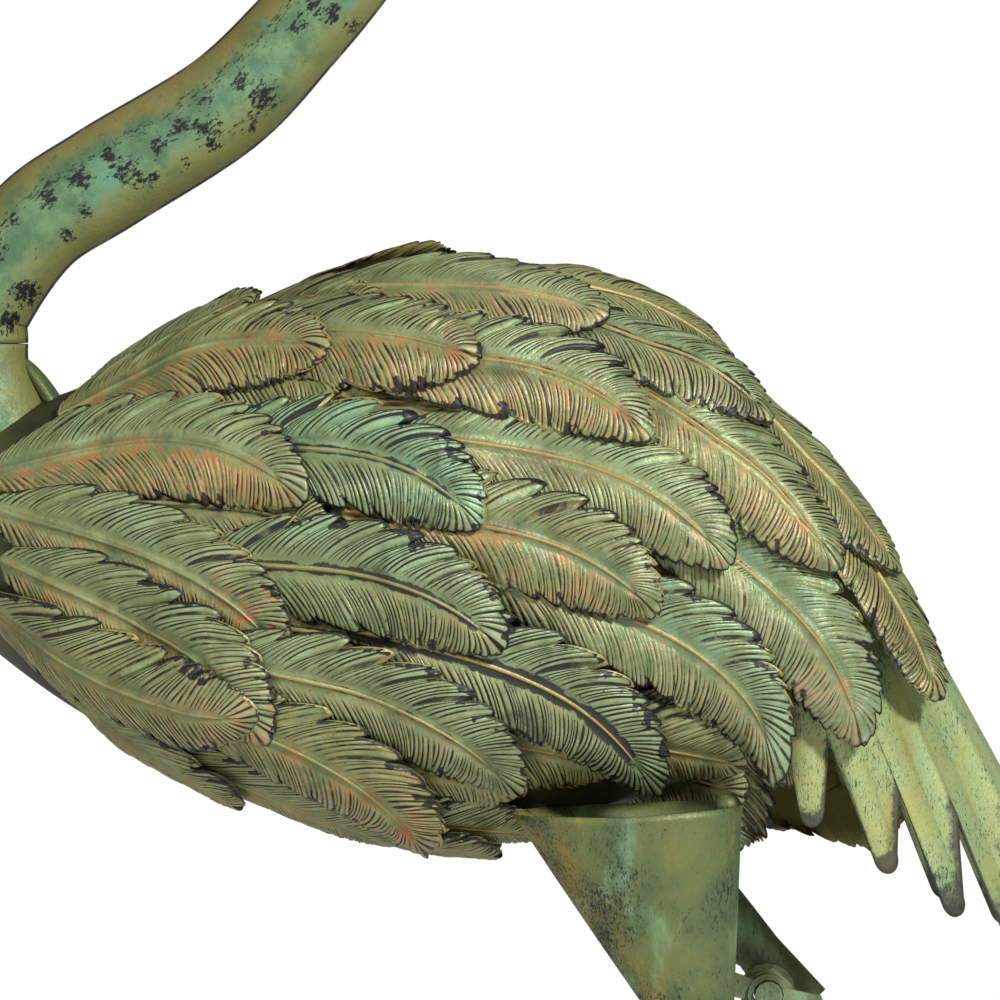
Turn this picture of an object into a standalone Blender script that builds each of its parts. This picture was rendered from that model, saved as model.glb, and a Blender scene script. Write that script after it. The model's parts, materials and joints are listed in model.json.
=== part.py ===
"""Crane garden statue of patinated sheet metal, on a low base.

The bird faces -X and stands on z = 0 with the base centred on the origin.
Its near side is -Y. All sizes in this file are in millimetres.
"""
import math

import bpy
import numpy
from mathutils import Vector

MM = 0.001

# Sheet thicknesses and clearances
FEATHER_SHEET = 0.8
SHELL_SHEET = 1.5
TAIL_SHEET = 1.2
THIGH_SHEET = 1.2
FIT_GAP = 0.35
TAIL_SEAM_GAP = 0.8

# Base plate
BASE_LENGTH = 330.0
BASE_WIDTH = 200.0
BASE_THICKNESS = 10.0
BASE_EDGE = 2.5

# Stamped feather
FEATHER_HALF_WIDTH = 20.5
FEATHER_LOBES = 5
LOBE_NOTCH = 0.84
LOBE_REACH = 1.04
LOBE_RAKE = 0.98
LOBE_WIDEST = 0.7
VANE_ROOT_SHARE = 0.35
VANE_FULL_AT = 0.42
VANE_CLOSES_FROM = 0.5
FEATHER_ROLL = 3.0
VANE_RADIUS = 75.0
ROOT_LIFT = 1.8
TIP_LIFT = 8.0
USUAL_LIFT = 9.0
STACK_CLEARANCE = 1.0
STACK_CELL = 2.8
DRAPE_ROWS = 7
DRAPE_PASSES = 10
STACK_PASSES = 2
RIDGE_GAP = 1.2

# Neck, head and beak; the neck is a little narrower across than it is deep
NECK_SIDES = 12
NECK_SQUASH = 0.92

# Fasteners: a 10 mm stud with its hex nut and wing nut
BOLT_DIAMETER = 10.0
BOLT_CLEARANCE = 0.4
NUT_ACROSS_FLATS = 16.0
HEX_NUT_HEIGHT = 8.0
WING_HUB_DIAMETER = 15.0
WING_HUB_HEIGHT = 7.0
WING_SPAN = 42.0
WING_HEIGHT = 12.0
WING_THICKNESS = 3.0
WING_ROOT_REACH = 4.0
WING_ROOT_HEIGHT = 4.0
WING_FOOT = -3.2
WING_TURN = -20.0
HEX_TURN = 18.0
WING_SHOULDER = 3.0
HOLE_OVERRUN = 10.0
BOLT_END = 3.0

# Legs
LEG_RADIUS = 6.5
KNEE_RADIUS = 9.5
ANKLE_RADIUS = 9.5
LUG_THICKNESS = 4.0
LUG_RADIUS = 10.0
LUG_NECK = 14.0
TUBE_TAPER = 6.0
KNEE_REACH = 16.0
KNEE_HALF_LENGTH = 5.0
ANKLE_RISE = 22.0
ANKLE_COLLAR = 6.0
FOOT_THICKNESS = 6.0
TOE_LENGTH = 66.0
HIND_TOE_LENGTH = 34.0
TOE_ROOT_WIDTH = 11.0
TOE_TIP_WIDTH = 6.0
TOE_PAD = 0.6
TOE_PAD_LENGTH = 6.0
TOE_START = 16.5
SIDE_TOE_TURN = 38.0
SIDE_TOE_SHARE = 0.9
TOE_NARROW_AT = 0.6

# Body sections: x, top z, bottom z, half width; the last ones lie under the tail feathers
BODY_SECTIONS = [
    (-230.0, 541.0, 522.0, 8.0),
    (-220.0, 558.0, 506.0, 24.0),
    (-198.0, 571.0, 486.0, 41.0),
    (-170.0, 581.0, 466.0, 53.0),
    (-126.0, 600.0, 442.0, 64.0),
    (-60.0, 625.0, 423.0, 71.0),
    (-10.0, 625.0, 423.0, 70.0),
    (35.0, 609.0, 432.0, 66.0),
    (70.0, 581.0, 440.0, 59.0),
    (105.0, 541.0, 408.0, 49.0),
    (145.0, 468.0, 380.0, 40.0),
]
SHELL_RINGS = 12
SHELL_RING_SPACING = 1.35
SHELL_SIDES = 24
SHELL_END_BELOW = 65.0
SHELL_END_ABOVE = 100.0

# Tail fan: for each finger from the lower edge to the ridge, its tip (x, half spread, z)
# and the slot above it (x, half spread, z)
TAIL_FINGERS = [
    ((88.0, 50.0, 429.0), (94.0, 50.0, 459.0)),
    ((115.0, 47.0, 412.0), (119.0, 44.0, 441.0)),
    ((139.0, 39.0, 396.0), (140.0, 34.0, 431.0)),
    ((159.0, 25.0, 388.0), (162.0, 15.0, 425.0)),
]
TAIL_RIDGE_TIP = (179.0, 0.0, 402.0)
TAIL_LOWER_CORNER = (81.5, 50.0, 455.0)
TAIL_LOWEST_ANGLE = -39.0
TAIL_ROWS = 4
TAIL_FLUTE = 1.6
FINGER_TIP_WIDTH = 10.0
FINGER_TIP_LENGTH = 9.0

# Neck in side view from the body up: x, z, half width in side view
NECK_PATH = [
    (-199.0, 556.0, 25.0),
    (-203.0, 571.0, 21.5),
    (-206.0, 585.0, 18.5),
    (-206.0, 597.0, 17.3),
    (-204.5, 611.0, 17.9),
    (-186.0, 638.0, 18.4),
    (-160.0, 655.5, 18.9),
    (-119.0, 681.0, 18.2),
    (-93.0, 707.0, 17.0),
    (-74.0, 729.0, 16.2),
    (-58.0, 752.0, 15.6),
    (-49.0, 778.0, 15.0),
    (-48.0, 806.0, 14.4),
    (-56.0, 833.0, 13.8),
    (-73.0, 857.0, 13.3),
    (-96.0, 873.0, 13.0),
    (-112.0, 879.0, 16.0),
    (-129.0, 880.0, 16.5),
    (-143.0, 876.5, 13.0),
    (-153.0, 873.0, 8.5),
    (-190.0, 864.5, 6.0),
    (-228.0, 856.0, 3.6),
    (-262.0, 848.0, 1.0),
]
LOWER_SEAM_ROW = 3
HEAD_SEAM_ROW = 15
PATH_STEPS = 2
COLLAR_PATH = [
    (-184.2, 590.0, 1.8),
    (-181.7, 584.0, 3.0),
    (-178.9, 578.0, 3.2),
    (-176.4, 573.0, 2.0),
]
COLLAR_SPREAD = 2.6
COLLAR_SIDES = 10

# Legs in side view: rim of the thigh, where it is narrowest, its end, the bolt, knee and foot
NEAR_LEG = {"side": "near", "rim": (23.5, 433.0), "rim_half": 40.0, "narrow": (52.0, 346.0),
            "end": (55.0, 321.0), "bolt": (53.0, 333.0), "knee": (64.0, 190.0), "foot_x": 40.0}
FAR_LEG = {"side": "far", "rim": (6.0, 431.0), "rim_half": 28.0, "narrow": (72.0, 377.0),
           "end": (88.5, 357.0), "bolt": (75.0, 363.5), "knee": (108.0, 288.0), "foot_x": 18.0}
RIM_Y = 47.0
THIGH_END_Y = 42.0
RIM_HALF_DEPTH = 21.0
THIGH_NARROW_HALF = 8.5
THIGH_END_HALF = 10.0
THIGH_TAB_DEPTH = 5.0
RIM_RISE_INSIDE = 2.0

# Feathers of one side, each laid over the ones before it:
# name, root x, root z, tip x, tip z, bow of the midrib, roll, on the far side too
FEATHERS = [
    ("belly_3", -8.0, 463.0, 66.0, 449.0, 1.0, 1.0, True),
    ("belly_2", -62.0, 462.0, 22.0, 448.0, 3.0, 1.0, False),
    ("belly_1", -96.0, 453.0, -14.0, 440.0, 3.0, 1.0, False),
    ("rump_5", 77.0, 567.0, 133.0, 471.0, 5.0, -1.0, True),
    ("rump_4", 49.0, 595.0, 120.0, 516.0, 4.0, -1.0, True),
    ("rump_3", 18.0, 551.0, 105.0, 457.0, 15.0, -1.0, True),
    ("rump_2", 0.0, 597.0, 97.0, 517.0, 10.0, -1.0, True),
    ("rump_1", -21.0, 612.0, 75.0, 569.0, 10.0, -1.0, True),
    ("back_3", -91.0, 617.0, 18.0, 607.0, 6.0, 0.5, True),
    ("flank_6", -28.0, 518.0, 76.0, 449.0, 19.0, 1.0, True),
    ("wing_4", -56.0, 567.0, 59.0, 520.0, 15.0, 1.0, False),
    ("wing_3", -76.0, 540.0, 34.0, 503.0, 13.0, 1.0, True),
    ("flank_5", -74.0, 499.0, 34.0, 438.5, 16.0, 1.0, True),
    ("wing_2", -80.0, 592.0, 32.0, 564.0, 15.0, 1.0, False),
    ("back_2", -126.0, 600.0, -27.0, 592.0, 6.0, 1.0, False),
    ("back_1", -165.0, 586.0, -106.0, 615.0, 3.0, 1.0, False),
    ("back_0", -176.0, 572.0, -80.0, 595.0, 12.0, 1.0, True),
    ("wing_1", -130.0, 560.0, -27.0, 534.0, 15.0, 1.0, False),
    ("breast_4", -200.0, 552.0, -88.0, 542.0, 18.0, 1.0, True),
    ("flank_4", -130.0, 522.0, -19.0, 491.0, 13.0, 1.0, False),
    ("breast_3", -200.0, 540.0, -95.0, 488.0, 11.0, 1.0, False),
    ("belly_0", -150.0, 458.0, -57.0, 420.0, -1.0, 1.0, False),
    ("flank_3", -133.0, 490.0, -13.0, 438.5, 13.0, 1.0, False),
    ("flank_2", -133.0, 472.0, -45.5, 417.0, 10.0, 1.0, True),
    ("breast_0", -175.0, 474.0, -111.0, 433.0, -2.0, 1.0, False),
    ("breast_2", -196.0, 522.0, -102.0, 458.0, 10.0, 1.0, True),
    ("breast_1", -206.0, 508.0, -104.0, 470.0, -11.0, 1.0, False),
]


def clear_scene():
    for old in list(bpy.data.objects):
        bpy.data.objects.remove(old, do_unlink=True)


def material(name, colour, roughness=0.65, metallic=0.3):
    made = bpy.data.materials.new(name)
    made.use_nodes = True
    shader = made.node_tree.nodes["Principled BSDF"]
    shader.inputs["Base Color"].default_value = (*colour, 1.0)
    shader.inputs["Roughness"].default_value = roughness
    shader.inputs["Metallic"].default_value = metallic
    return made


def add_mesh(name, points, faces, finish):
    """Make an object from points in millimetres."""
    mesh = bpy.data.meshes.new(name)
    mesh.from_pydata([tuple(MM * value for value in point) for point in points], [], faces)
    mesh.validate()
    mesh.materials.append(finish)
    made = bpy.data.objects.new(name, mesh)
    bpy.context.scene.collection.objects.link(made)
    return made


def add_thickness(target, thickness):
    """Give a sheet its thickness, on the side away from its normals."""
    modifier = target.modifiers.new("sheet", "SOLIDIFY")
    modifier.thickness = thickness * MM
    modifier.offset = -1.0
    modifier.use_rim = True


def cut(target, cutter):
    modifier = target.modifiers.new("cut", "BOOLEAN")
    modifier.operation = "DIFFERENCE"
    modifier.solver = "EXACT"
    modifier.object = cutter
    cutter.hide_render = True
    cutter.display_type = "WIRE"


def join(target, addition):
    modifier = target.modifiers.new("join", "BOOLEAN")
    modifier.operation = "UNION"
    modifier.solver = "EXACT"
    modifier.object = addition
    addition.hide_render = True
    addition.display_type = "WIRE"


def smooth_value(x, rows, column):
    """Read one column of a table at x, on a smooth curve through its rows."""
    last = len(rows) - 1
    index = 0
    while index < last - 1 and x > rows[index + 1][0]:
        index += 1

    def slope(row):
        before = rows[max(row - 1, 0)]
        after = rows[min(row + 1, last)]
        return (after[column] - before[column]) / (after[0] - before[0])

    start = rows[index]
    end = rows[index + 1]
    span = end[0] - start[0]
    part = min(max((x - start[0]) / span, 0.0), 1.0)
    weight = part * part * (3.0 - 2.0 * part)
    leaving = slope(index) * span * part * (1.0 - part) ** 2
    arriving = slope(index + 1) * span * part * part * (1.0 - part)
    return start[column] * (1.0 - weight) + end[column] * weight + leaving - arriving


def body_section(x):
    """Centre height, half height and half width of the body shell at x."""
    top = smooth_value(x, BODY_SECTIONS, 1)
    bottom = smooth_value(x, BODY_SECTIONS, 2)
    half_width = smooth_value(x, BODY_SECTIONS, 3)
    return (top + bottom) / 2.0, (top - bottom) / 2.0, half_width


def on_body(x, angle):
    """Point of the shell's outer face; angle 0 is the near side, 90 degrees the ridge."""
    centre, half_height, half_width = body_section(x)
    return Vector((x, -half_width * math.cos(angle), centre + half_height * math.sin(angle)))


def body_normal(x, angle):
    step = 0.5
    along = on_body(x + step, angle) - on_body(x - step, angle)
    around = on_body(x, angle + 0.01) - on_body(x, angle - 0.01)
    return along.cross(around).normalized()


def height_over_body(point):
    """Place of a point over the shell: x, arc length around it, and height above it."""
    centre, half_height, half_width = body_section(point.x)
    up = (point.z - centre) / half_height
    out = -point.y / half_width
    angle = math.atan2(up, out)
    reach = math.hypot(half_width * math.cos(angle), half_height * math.sin(angle))
    return point.x, angle * half_height, (math.hypot(up, out) - 1.0) * reach


def shell_end(angle):
    """The shell runs further back along its ridge than along its belly."""
    share = (math.degrees(math.asin(math.sin(angle))) + 90.0) / 180.0
    return SHELL_END_BELOW + (SHELL_END_ABOVE - SHELL_END_BELOW) * share


def body_skin(name, finish, outset, closed_end):
    """The shell's outer face, moved out by outset; closed at the back for a cutter."""
    front = BODY_SECTIONS[0][0]
    points = []
    for ring in range(SHELL_RINGS + 1):
        share = (ring / SHELL_RINGS) ** SHELL_RING_SPACING
        for side in range(SHELL_SIDES):
            angle = -math.pi / 2.0 + 2.0 * math.pi * side / SHELL_SIDES
            x = front + (shell_end(angle) - front) * share
            points.append(on_body(x, angle) + body_normal(x, angle) * outset)
    faces = []
    for ring in range(SHELL_RINGS):
        for side in range(SHELL_SIDES):
            after = (side + 1) % SHELL_SIDES
            a = ring * SHELL_SIDES
            b = a + SHELL_SIDES
            faces.append((a + side, b + side, b + after, a + after))
    faces.append(tuple(range(SHELL_SIDES)))
    if closed_end:
        start = SHELL_RINGS * SHELL_SIDES
        faces.append(tuple(start + side for side in reversed(range(SHELL_SIDES))))
    return add_mesh(name, points, faces, finish)


def make_body(finish):
    shell = body_skin("body_shell", finish, 0.0, False)
    add_thickness(shell, SHELL_SHEET)
    return shell


def tail_outline():
    """Lower outline of one half of the fan: (x, half spread, z) from its corner to the ridge."""
    outline = [Vector(TAIL_LOWER_CORNER)]
    for tip, slot in TAIL_FINGERS:
        before = outline[-1]
        slot = Vector(slot)
        tip = Vector(tip)
        across = (slot - before).normalized() * (FINGER_TIP_WIDTH / 2.0)
        back = (before.lerp(slot, 0.5) - tip).normalized() * FINGER_TIP_LENGTH
        outline.append(tip + back - across)
        outline.append(tip)
        outline.append(tip + back + across)
        outline.append(slot)
    ridge_tip = Vector(TAIL_RIDGE_TIP)
    beside = outline[-1].lerp(ridge_tip, 0.62)
    beside.y = outline[-1].y * 0.6
    outline.append(beside)
    outline.append(ridge_tip)
    return outline


def tail_columns():
    """Rulings of one half of the fan, from the shell's rim to its outline."""
    outline = tail_outline()
    lowest = math.radians(TAIL_LOWEST_ANGLE)
    columns = []
    for number, end in enumerate(outline):
        angle = lowest + (math.pi / 2.0 - lowest) * number / (len(outline) - 1)
        rim_x = shell_end(angle) + TAIL_SEAM_GAP
        rim = on_body(rim_x, angle)
        normal = body_normal(rim_x, angle)
        column = []
        for row in range(TAIL_ROWS + 1):
            share = row / TAIL_ROWS
            point = rim.lerp(Vector((end.x, -end.y, end.z)), share)
            if number % 4 == 2:
                point += normal * (TAIL_FLUTE * math.sin(math.pi * min(share * 1.4, 1.0) / 2.0))
            column.append(point)
        columns.append(column)
    return columns


def make_tail(finish):
    """One sheet in fingers, both halves, joined along the ridge."""
    half = tail_columns()
    columns = list(half)
    for column in reversed(half[:-1]):
        columns.append([Vector((point.x, -point.y, point.z)) for point in column])
    points = [point for column in columns for point in column]
    faces = []
    step = TAIL_ROWS + 1
    for column in range(len(columns) - 1):
        for row in range(TAIL_ROWS):
            a = column * step + row
            b = a + step
            faces.append((a, a + 1, b + 1, b))
    tail = add_mesh("tail_fan", points, faces, finish)
    add_thickness(tail, TAIL_SHEET)
    return tail


def midrib_in_side_view(feather, share):
    """Side-view place of the midrib: a chord with a bow that peaks past its middle."""
    _, root_x, root_z, tip_x, tip_z, bow = feather[:6]
    length = math.hypot(tip_x - root_x, tip_z - root_z)
    even = 4.0 * share * (1.0 - share)
    late = 6.75 * share * share * (1.0 - share)
    rise = bow * (even + late) / 2.0
    x = root_x + (tip_x - root_x) * share - (tip_z - root_z) / length * rise
    z = root_z + (tip_z - root_z) * share + (tip_x - root_x) / length * rise
    return x, z


def lift_at(lifts, share):
    """Height of the midrib over the shell, from its heights at even shares."""
    place = share * (len(lifts) - 1)
    row = min(int(place), len(lifts) - 2)
    return lifts[row] + (lifts[row + 1] - lifts[row]) * (place - row)


def under_midrib(feather, share, lifts):
    """Point of the shell from which the lifted midrib is seen in its side-view place."""
    x, z = midrib_in_side_view(feather, share)
    lift = lift_at(lifts, share)
    shell_x = x
    shell_z = z
    for _ in range(3):
        centre, half_height, _ = body_section(shell_x)
        angle = math.asin(min(max((shell_z - centre) / half_height, -0.97), 0.97))
        normal = body_normal(shell_x, angle)
        shell_x = x - normal.x * lift
        shell_z = z - normal.z * lift
    return on_body(shell_x, angle), normal


def feather_frame(feather, share, lifts):
    """Shell point under the midrib, the way across towards the ridge, and the way out."""
    step = 0.02
    here, normal = under_midrib(feather, share, lifts)
    before, _ = under_midrib(feather, max(share - step, 0.0), lifts)
    after, _ = under_midrib(feather, min(share + step, 1.0), lifts)
    along = (after - before).normalized()
    up = normal.cross(along).normalized()
    return here, up, along.cross(up)


def vane_half_width(share):
    """Half width of the feather: a narrow root, full past the middle, round to the tip."""
    filling = 1.0 - (1.0 - min(share / VANE_FULL_AT, 1.0)) ** 2
    closing = max(0.0, 1.0 - max(0.0, (share - VANE_CLOSES_FROM) / (1.0 - VANE_CLOSES_FROM)) ** 2.6)
    root = VANE_ROOT_SHARE + (1.0 - VANE_ROOT_SHARE) * filling
    return FEATHER_HALF_WIDTH * root * closing ** 0.7


def drape_weights(share, side):
    """Knots of the drape around a place, each with its weight."""
    place = share * (DRAPE_ROWS - 1)
    row = min(int(place), DRAPE_ROWS - 2)
    part = place - row
    reach = min(abs(side), 1.0)
    outer = 0 if side < 0.0 else 2
    return ((row, 1, (1.0 - part) * (1.0 - reach)), (row + 1, 1, part * (1.0 - reach)),
            (row, outer, (1.0 - part) * reach), (row + 1, outer, part * reach))


def drape_height(drape, share, side):
    """Read the drape, a small grid of heights along and across the feather."""
    return sum(drape[row][column] * weight for row, column, weight in drape_weights(share, side))


def vane_point(feather, frame, across, height):
    """Point of the feather; across is in millimetres, positive towards the ridge."""
    here, up, out = frame
    roll = feather[6] * FEATHER_ROLL * across / FEATHER_HALF_WIDTH
    droop = across * across / (2.0 * VANE_RADIUS)
    point = here + up * across + out * (height + roll - droop)
    point.y = min(point.y, -RIDGE_GAP)
    return point


def lay_feather(feather, stack, lifts):
    """Heights of a feather that clears all that is already stacked under it."""
    cells = []
    heights = []
    weights = []
    bounds = []
    for along in range(49):
        share = along / 48.0
        frame = feather_frame(feather, share, lifts)
        reach = 1.08 * vane_half_width(min(share, 0.93))
        for column in range(-7, 8):
            across = reach * column / 7.0
            x, arc, height = height_over_body(vane_point(feather, frame, across, 0.0))
            cell = (round(x / STACK_CELL), round(arc / STACK_CELL))
            around = ((0, 0), (1, 0), (-1, 0), (0, 1), (0, -1))
            below = max(stack.get((cell[0] + i, cell[1] + j), 0.0) for i, j in around)
            pull = numpy.zeros((DRAPE_ROWS, 3))
            for row, knot, weight in drape_weights(share, across / FEATHER_HALF_WIDTH):
                pull[row][knot] += weight
            cells.append(cell)
            heights.append(height)
            weights.append(pull.ravel())
            bounds.append(below + FEATHER_SHEET + STACK_CLEARANCE - height)
    weights = numpy.array(weights)
    bounds = numpy.array(bounds)
    least = numpy.repeat(numpy.linspace(ROOT_LIFT, TIP_LIFT, DRAPE_ROWS), 3)
    drape = least.copy()
    for knot in range(len(drape)):
        held = weights[:, knot] > 0.0
        drape[knot] = max(drape[knot], bounds[held].max())
    for _ in range(DRAPE_PASSES):
        for knot in range(len(drape)):
            held = weights[:, knot] > 0.02
            spare = ((weights[held] @ drape - bounds[held]) / weights[held, knot]).min()
            drape[knot] -= min(max(spare, 0.0) * 0.6, drape[knot] - least[knot])
    for cell, top in zip(cells, numpy.array(heights) + weights @ drape):
        stack[cell] = max(stack.get(cell, 0.0), top)
    return drape.reshape((DRAPE_ROWS, 3))


def tail_in_stack():
    """The stack with only the tail in it, so that the feathers are laid over the tail."""
    stack = {}
    for column, following in zip(tail_columns(), tail_columns()[1:]):
        for step in range(9):
            for row in range(41):
                place = min(row / 40.0 * TAIL_ROWS, TAIL_ROWS - 0.001)
                low = int(place)
                here = column[low].lerp(column[low + 1], place - low)
                there = following[low].lerp(following[low + 1], place - low)
                x, arc, height = height_over_body(here.lerp(there, step / 8.0))
                cell = (round(x / STACK_CELL), round(arc / STACK_CELL))
                stack[cell] = max(stack.get(cell, 0.0), height)
    return stack


def lay_feathers(feathers):
    """Lay one side's feathers in turn; a second pass puts the lifted midribs in their places."""
    all_lifts = [[ROOT_LIFT, USUAL_LIFT] for _ in feathers]
    for _ in range(STACK_PASSES):
        stack = tail_in_stack()
        drapes = [lay_feather(feather, stack, lifts) for feather, lifts in zip(feathers, all_lifts)]
        laid = list(zip(all_lifts, drapes))
        all_lifts = [drape[:, 1] for drape in drapes]
    return laid


def make_feather(name, feather, laid, mirrored, finish):
    """A leaf-shaped stamping with forward-raked lobes along both edges."""
    flip = -1.0 if mirrored else 1.0
    lifts, drape = laid
    points = []

    def place(share, across):
        share = min(share, 1.0)
        height = drape_height(drape, share, across / FEATHER_HALF_WIDTH)
        point = vane_point(feather, feather_frame(feather, share, lifts), across, height)
        points.append((point.x, flip * point.y, point.z))
        return len(points) - 1

    spacing = 1.0 / FEATHER_LOBES
    ribs = [place(index * spacing, 0.0) for index in range(FEATHER_LOBES + 1)]
    faces = []
    for sign in (1.0, -1.0):
        notches = []
        for index in range(FEATHER_LOBES):
            share = index * spacing
            depth = 1.0 if index == 0 else LOBE_NOTCH
            notches.append(place(share, sign * depth * vane_half_width(share)))
        notches.append(ribs[-1])
        for index in range(FEATHER_LOBES):
            share = index * spacing
            widest = vane_half_width(min(share + LOBE_WIDEST * spacing, 0.96))
            lobe = place(share + LOBE_RAKE * spacing, sign * LOBE_REACH * widest)
            patch = [(ribs[index], ribs[index + 1], notches[index]),
                     (notches[index], ribs[index + 1], notches[index + 1]),
                     (notches[index], notches[index + 1], lobe)]
            for face in patch:
                if len(set(face)) < 3:
                    continue
                if sign * flip < 0.0:
                    face = tuple(reversed(face))
                faces.append(face)
    feather_object = add_mesh(name, points, faces, finish)
    add_thickness(feather_object, FEATHER_SHEET)
    return feather_object


def make_feathers(finish):
    for feather, laid in zip(FEATHERS, lay_feathers(FEATHERS)):
        make_feather("near_" + feather[0], feather, laid, False, finish)
        if feather[7]:
            make_feather("far_" + feather[0], feather, laid, True, finish)


def curve_through(rows, steps):
    """Rows read along a smooth curve, steps to each pair of rows."""
    numbered = [(float(index), *row) for index, row in enumerate(rows)]
    result = []
    for index in range((len(rows) - 1) * steps + 1):
        at = index / steps
        result.append(tuple(smooth_value(at, numbered, column) for column in range(1, len(rows[0]) + 1)))
    return result


def path_rings(rows, depth_share, sides, y):
    """Oval rings square to a side-view path of (x, z, half width)."""
    rings = []
    last = len(rows) - 1
    for index, (x, z, half) in enumerate(rows):
        before = rows[max(index - 1, 0)]
        after = rows[min(index + 1, last)]
        along = Vector((after[0] - before[0], 0.0, after[1] - before[1])).normalized()
        across = Vector((-along.z, 0.0, along.x))
        ring = []
        for side in range(sides):
            angle = 2.0 * math.pi * side / sides
            out = across * (half * math.cos(angle))
            out.y = half * depth_share * math.sin(angle)
            ring.append(Vector((x, y, z)) + out)
        rings.append((ring, along))
    return rings


def solid_of_rings(name, rings, finish, start_gap=0.0):
    """A closed solid through rings; the first one is moved on by start_gap."""
    first, along = rings[0]
    sides = len(first)
    points = [point + along * start_gap for point in first]
    for ring, _ in rings[1:]:
        points.extend(ring)
    faces = [tuple(range(sides))]
    last = len(rings) - 1
    for ring in range(last):
        for side in range(sides):
            after = (side + 1) % sides
            a = ring * sides
            b = a + sides
            faces.append((a + side, b + side, b + after, a + after))
    faces.append(tuple(last * sides + side for side in reversed(range(sides))))
    return add_mesh(name, points, faces, finish)


def make_neck(finish, body_cutter):
    """Lower sleeve, S-curved neck and head, parted at two seams of one path."""
    rings = path_rings(curve_through(NECK_PATH, PATH_STEPS), NECK_SQUASH, NECK_SIDES, 0.0)
    lower_seam = LOWER_SEAM_ROW * PATH_STEPS
    head_seam = HEAD_SEAM_ROW * PATH_STEPS
    lower = solid_of_rings("lower_neck", rings[:lower_seam + 1], finish)
    solid_of_rings("neck", rings[lower_seam:head_seam + 1], finish, FIT_GAP)
    solid_of_rings("head", rings[head_seam:], finish, FIT_GAP)
    cut(lower, body_cutter)
    collar = solid_of_rings("neck_collar", path_rings(COLLAR_PATH, COLLAR_SPREAD, COLLAR_SIDES, 0.0),
                            finish)
    cut(collar, body_cutter)


def make_thigh(leg, finish, body_cutter):
    """A sheet funnel, open above, that narrows to a flattened tab."""
    flip = -1.0 if leg["side"] == "near" else 1.0
    rim = Vector((leg["rim"][0], RIM_Y, leg["rim"][1]))
    narrow = Vector((leg["narrow"][0], THIGH_END_Y, leg["narrow"][1]))
    end = Vector((leg["end"][0], THIGH_END_Y, leg["end"][1]))
    level = Vector((1.0, 0.0, 0.0))
    axis = end - narrow
    square = Vector((-axis.z, 0.0, axis.x)).normalized()
    stations = []
    for part in (0.0, 0.35, 0.7, 0.92):
        half = leg["rim_half"] + (THIGH_NARROW_HALF - leg["rim_half"]) * part
        depth = RIM_HALF_DEPTH + (THIGH_TAB_DEPTH - RIM_HALF_DEPTH) * part
        stations.append((rim.lerp(narrow, part), level.lerp(square, part).normalized(), half, depth))
    stations.append((narrow, square, THIGH_NARROW_HALF, THIGH_TAB_DEPTH))
    stations.append((end, square, THIGH_END_HALF, THIGH_TAB_DEPTH))
    sides = 16
    points = []
    for number, (centre, across, half, depth) in enumerate(stations):
        for side in range(sides):
            angle = 2.0 * math.pi * side / sides
            point = centre + across * (half * math.cos(angle))
            point.y += depth * math.sin(angle)
            if number == 0:
                point.z += RIM_RISE_INSIDE * max(0.0, -math.sin(angle))
            point.y *= flip
            points.append(point)
    faces = []
    for ring in range(len(stations) - 1):
        for side in range(sides):
            after = (side + 1) % sides
            a = ring * sides
            b = a + sides
            face = (a + side, b + side, b + after, a + after)
            if flip < 0.0:
                face = tuple(reversed(face))
            faces.append(face)
    thigh = add_mesh(leg["side"] + "_thigh", points, faces, finish)
    add_thickness(thigh, THIGH_SHEET)
    cut(thigh, body_cutter)
    return thigh


def cylinder_along_y(name, x, z, radius, y_from, y_to, sides, finish, turn=0.0):
    """A round bar from one y to another, or a hexagonal one with six sides."""
    low = min(y_from, y_to)
    high = max(y_from, y_to)
    points = []
    for y in (low, high):
        for side in range(sides):
            angle = turn + 2.0 * math.pi * side / sides
            points.append((x + radius * math.cos(angle), y, z + radius * math.sin(angle)))
    faces = [tuple(range(sides)), tuple(sides + side for side in reversed(range(sides)))]
    for side in range(sides):
        after = (side + 1) % sides
        faces.append((side, sides + side, sides + after, after))
    return add_mesh(name, points, faces, finish)


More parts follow.
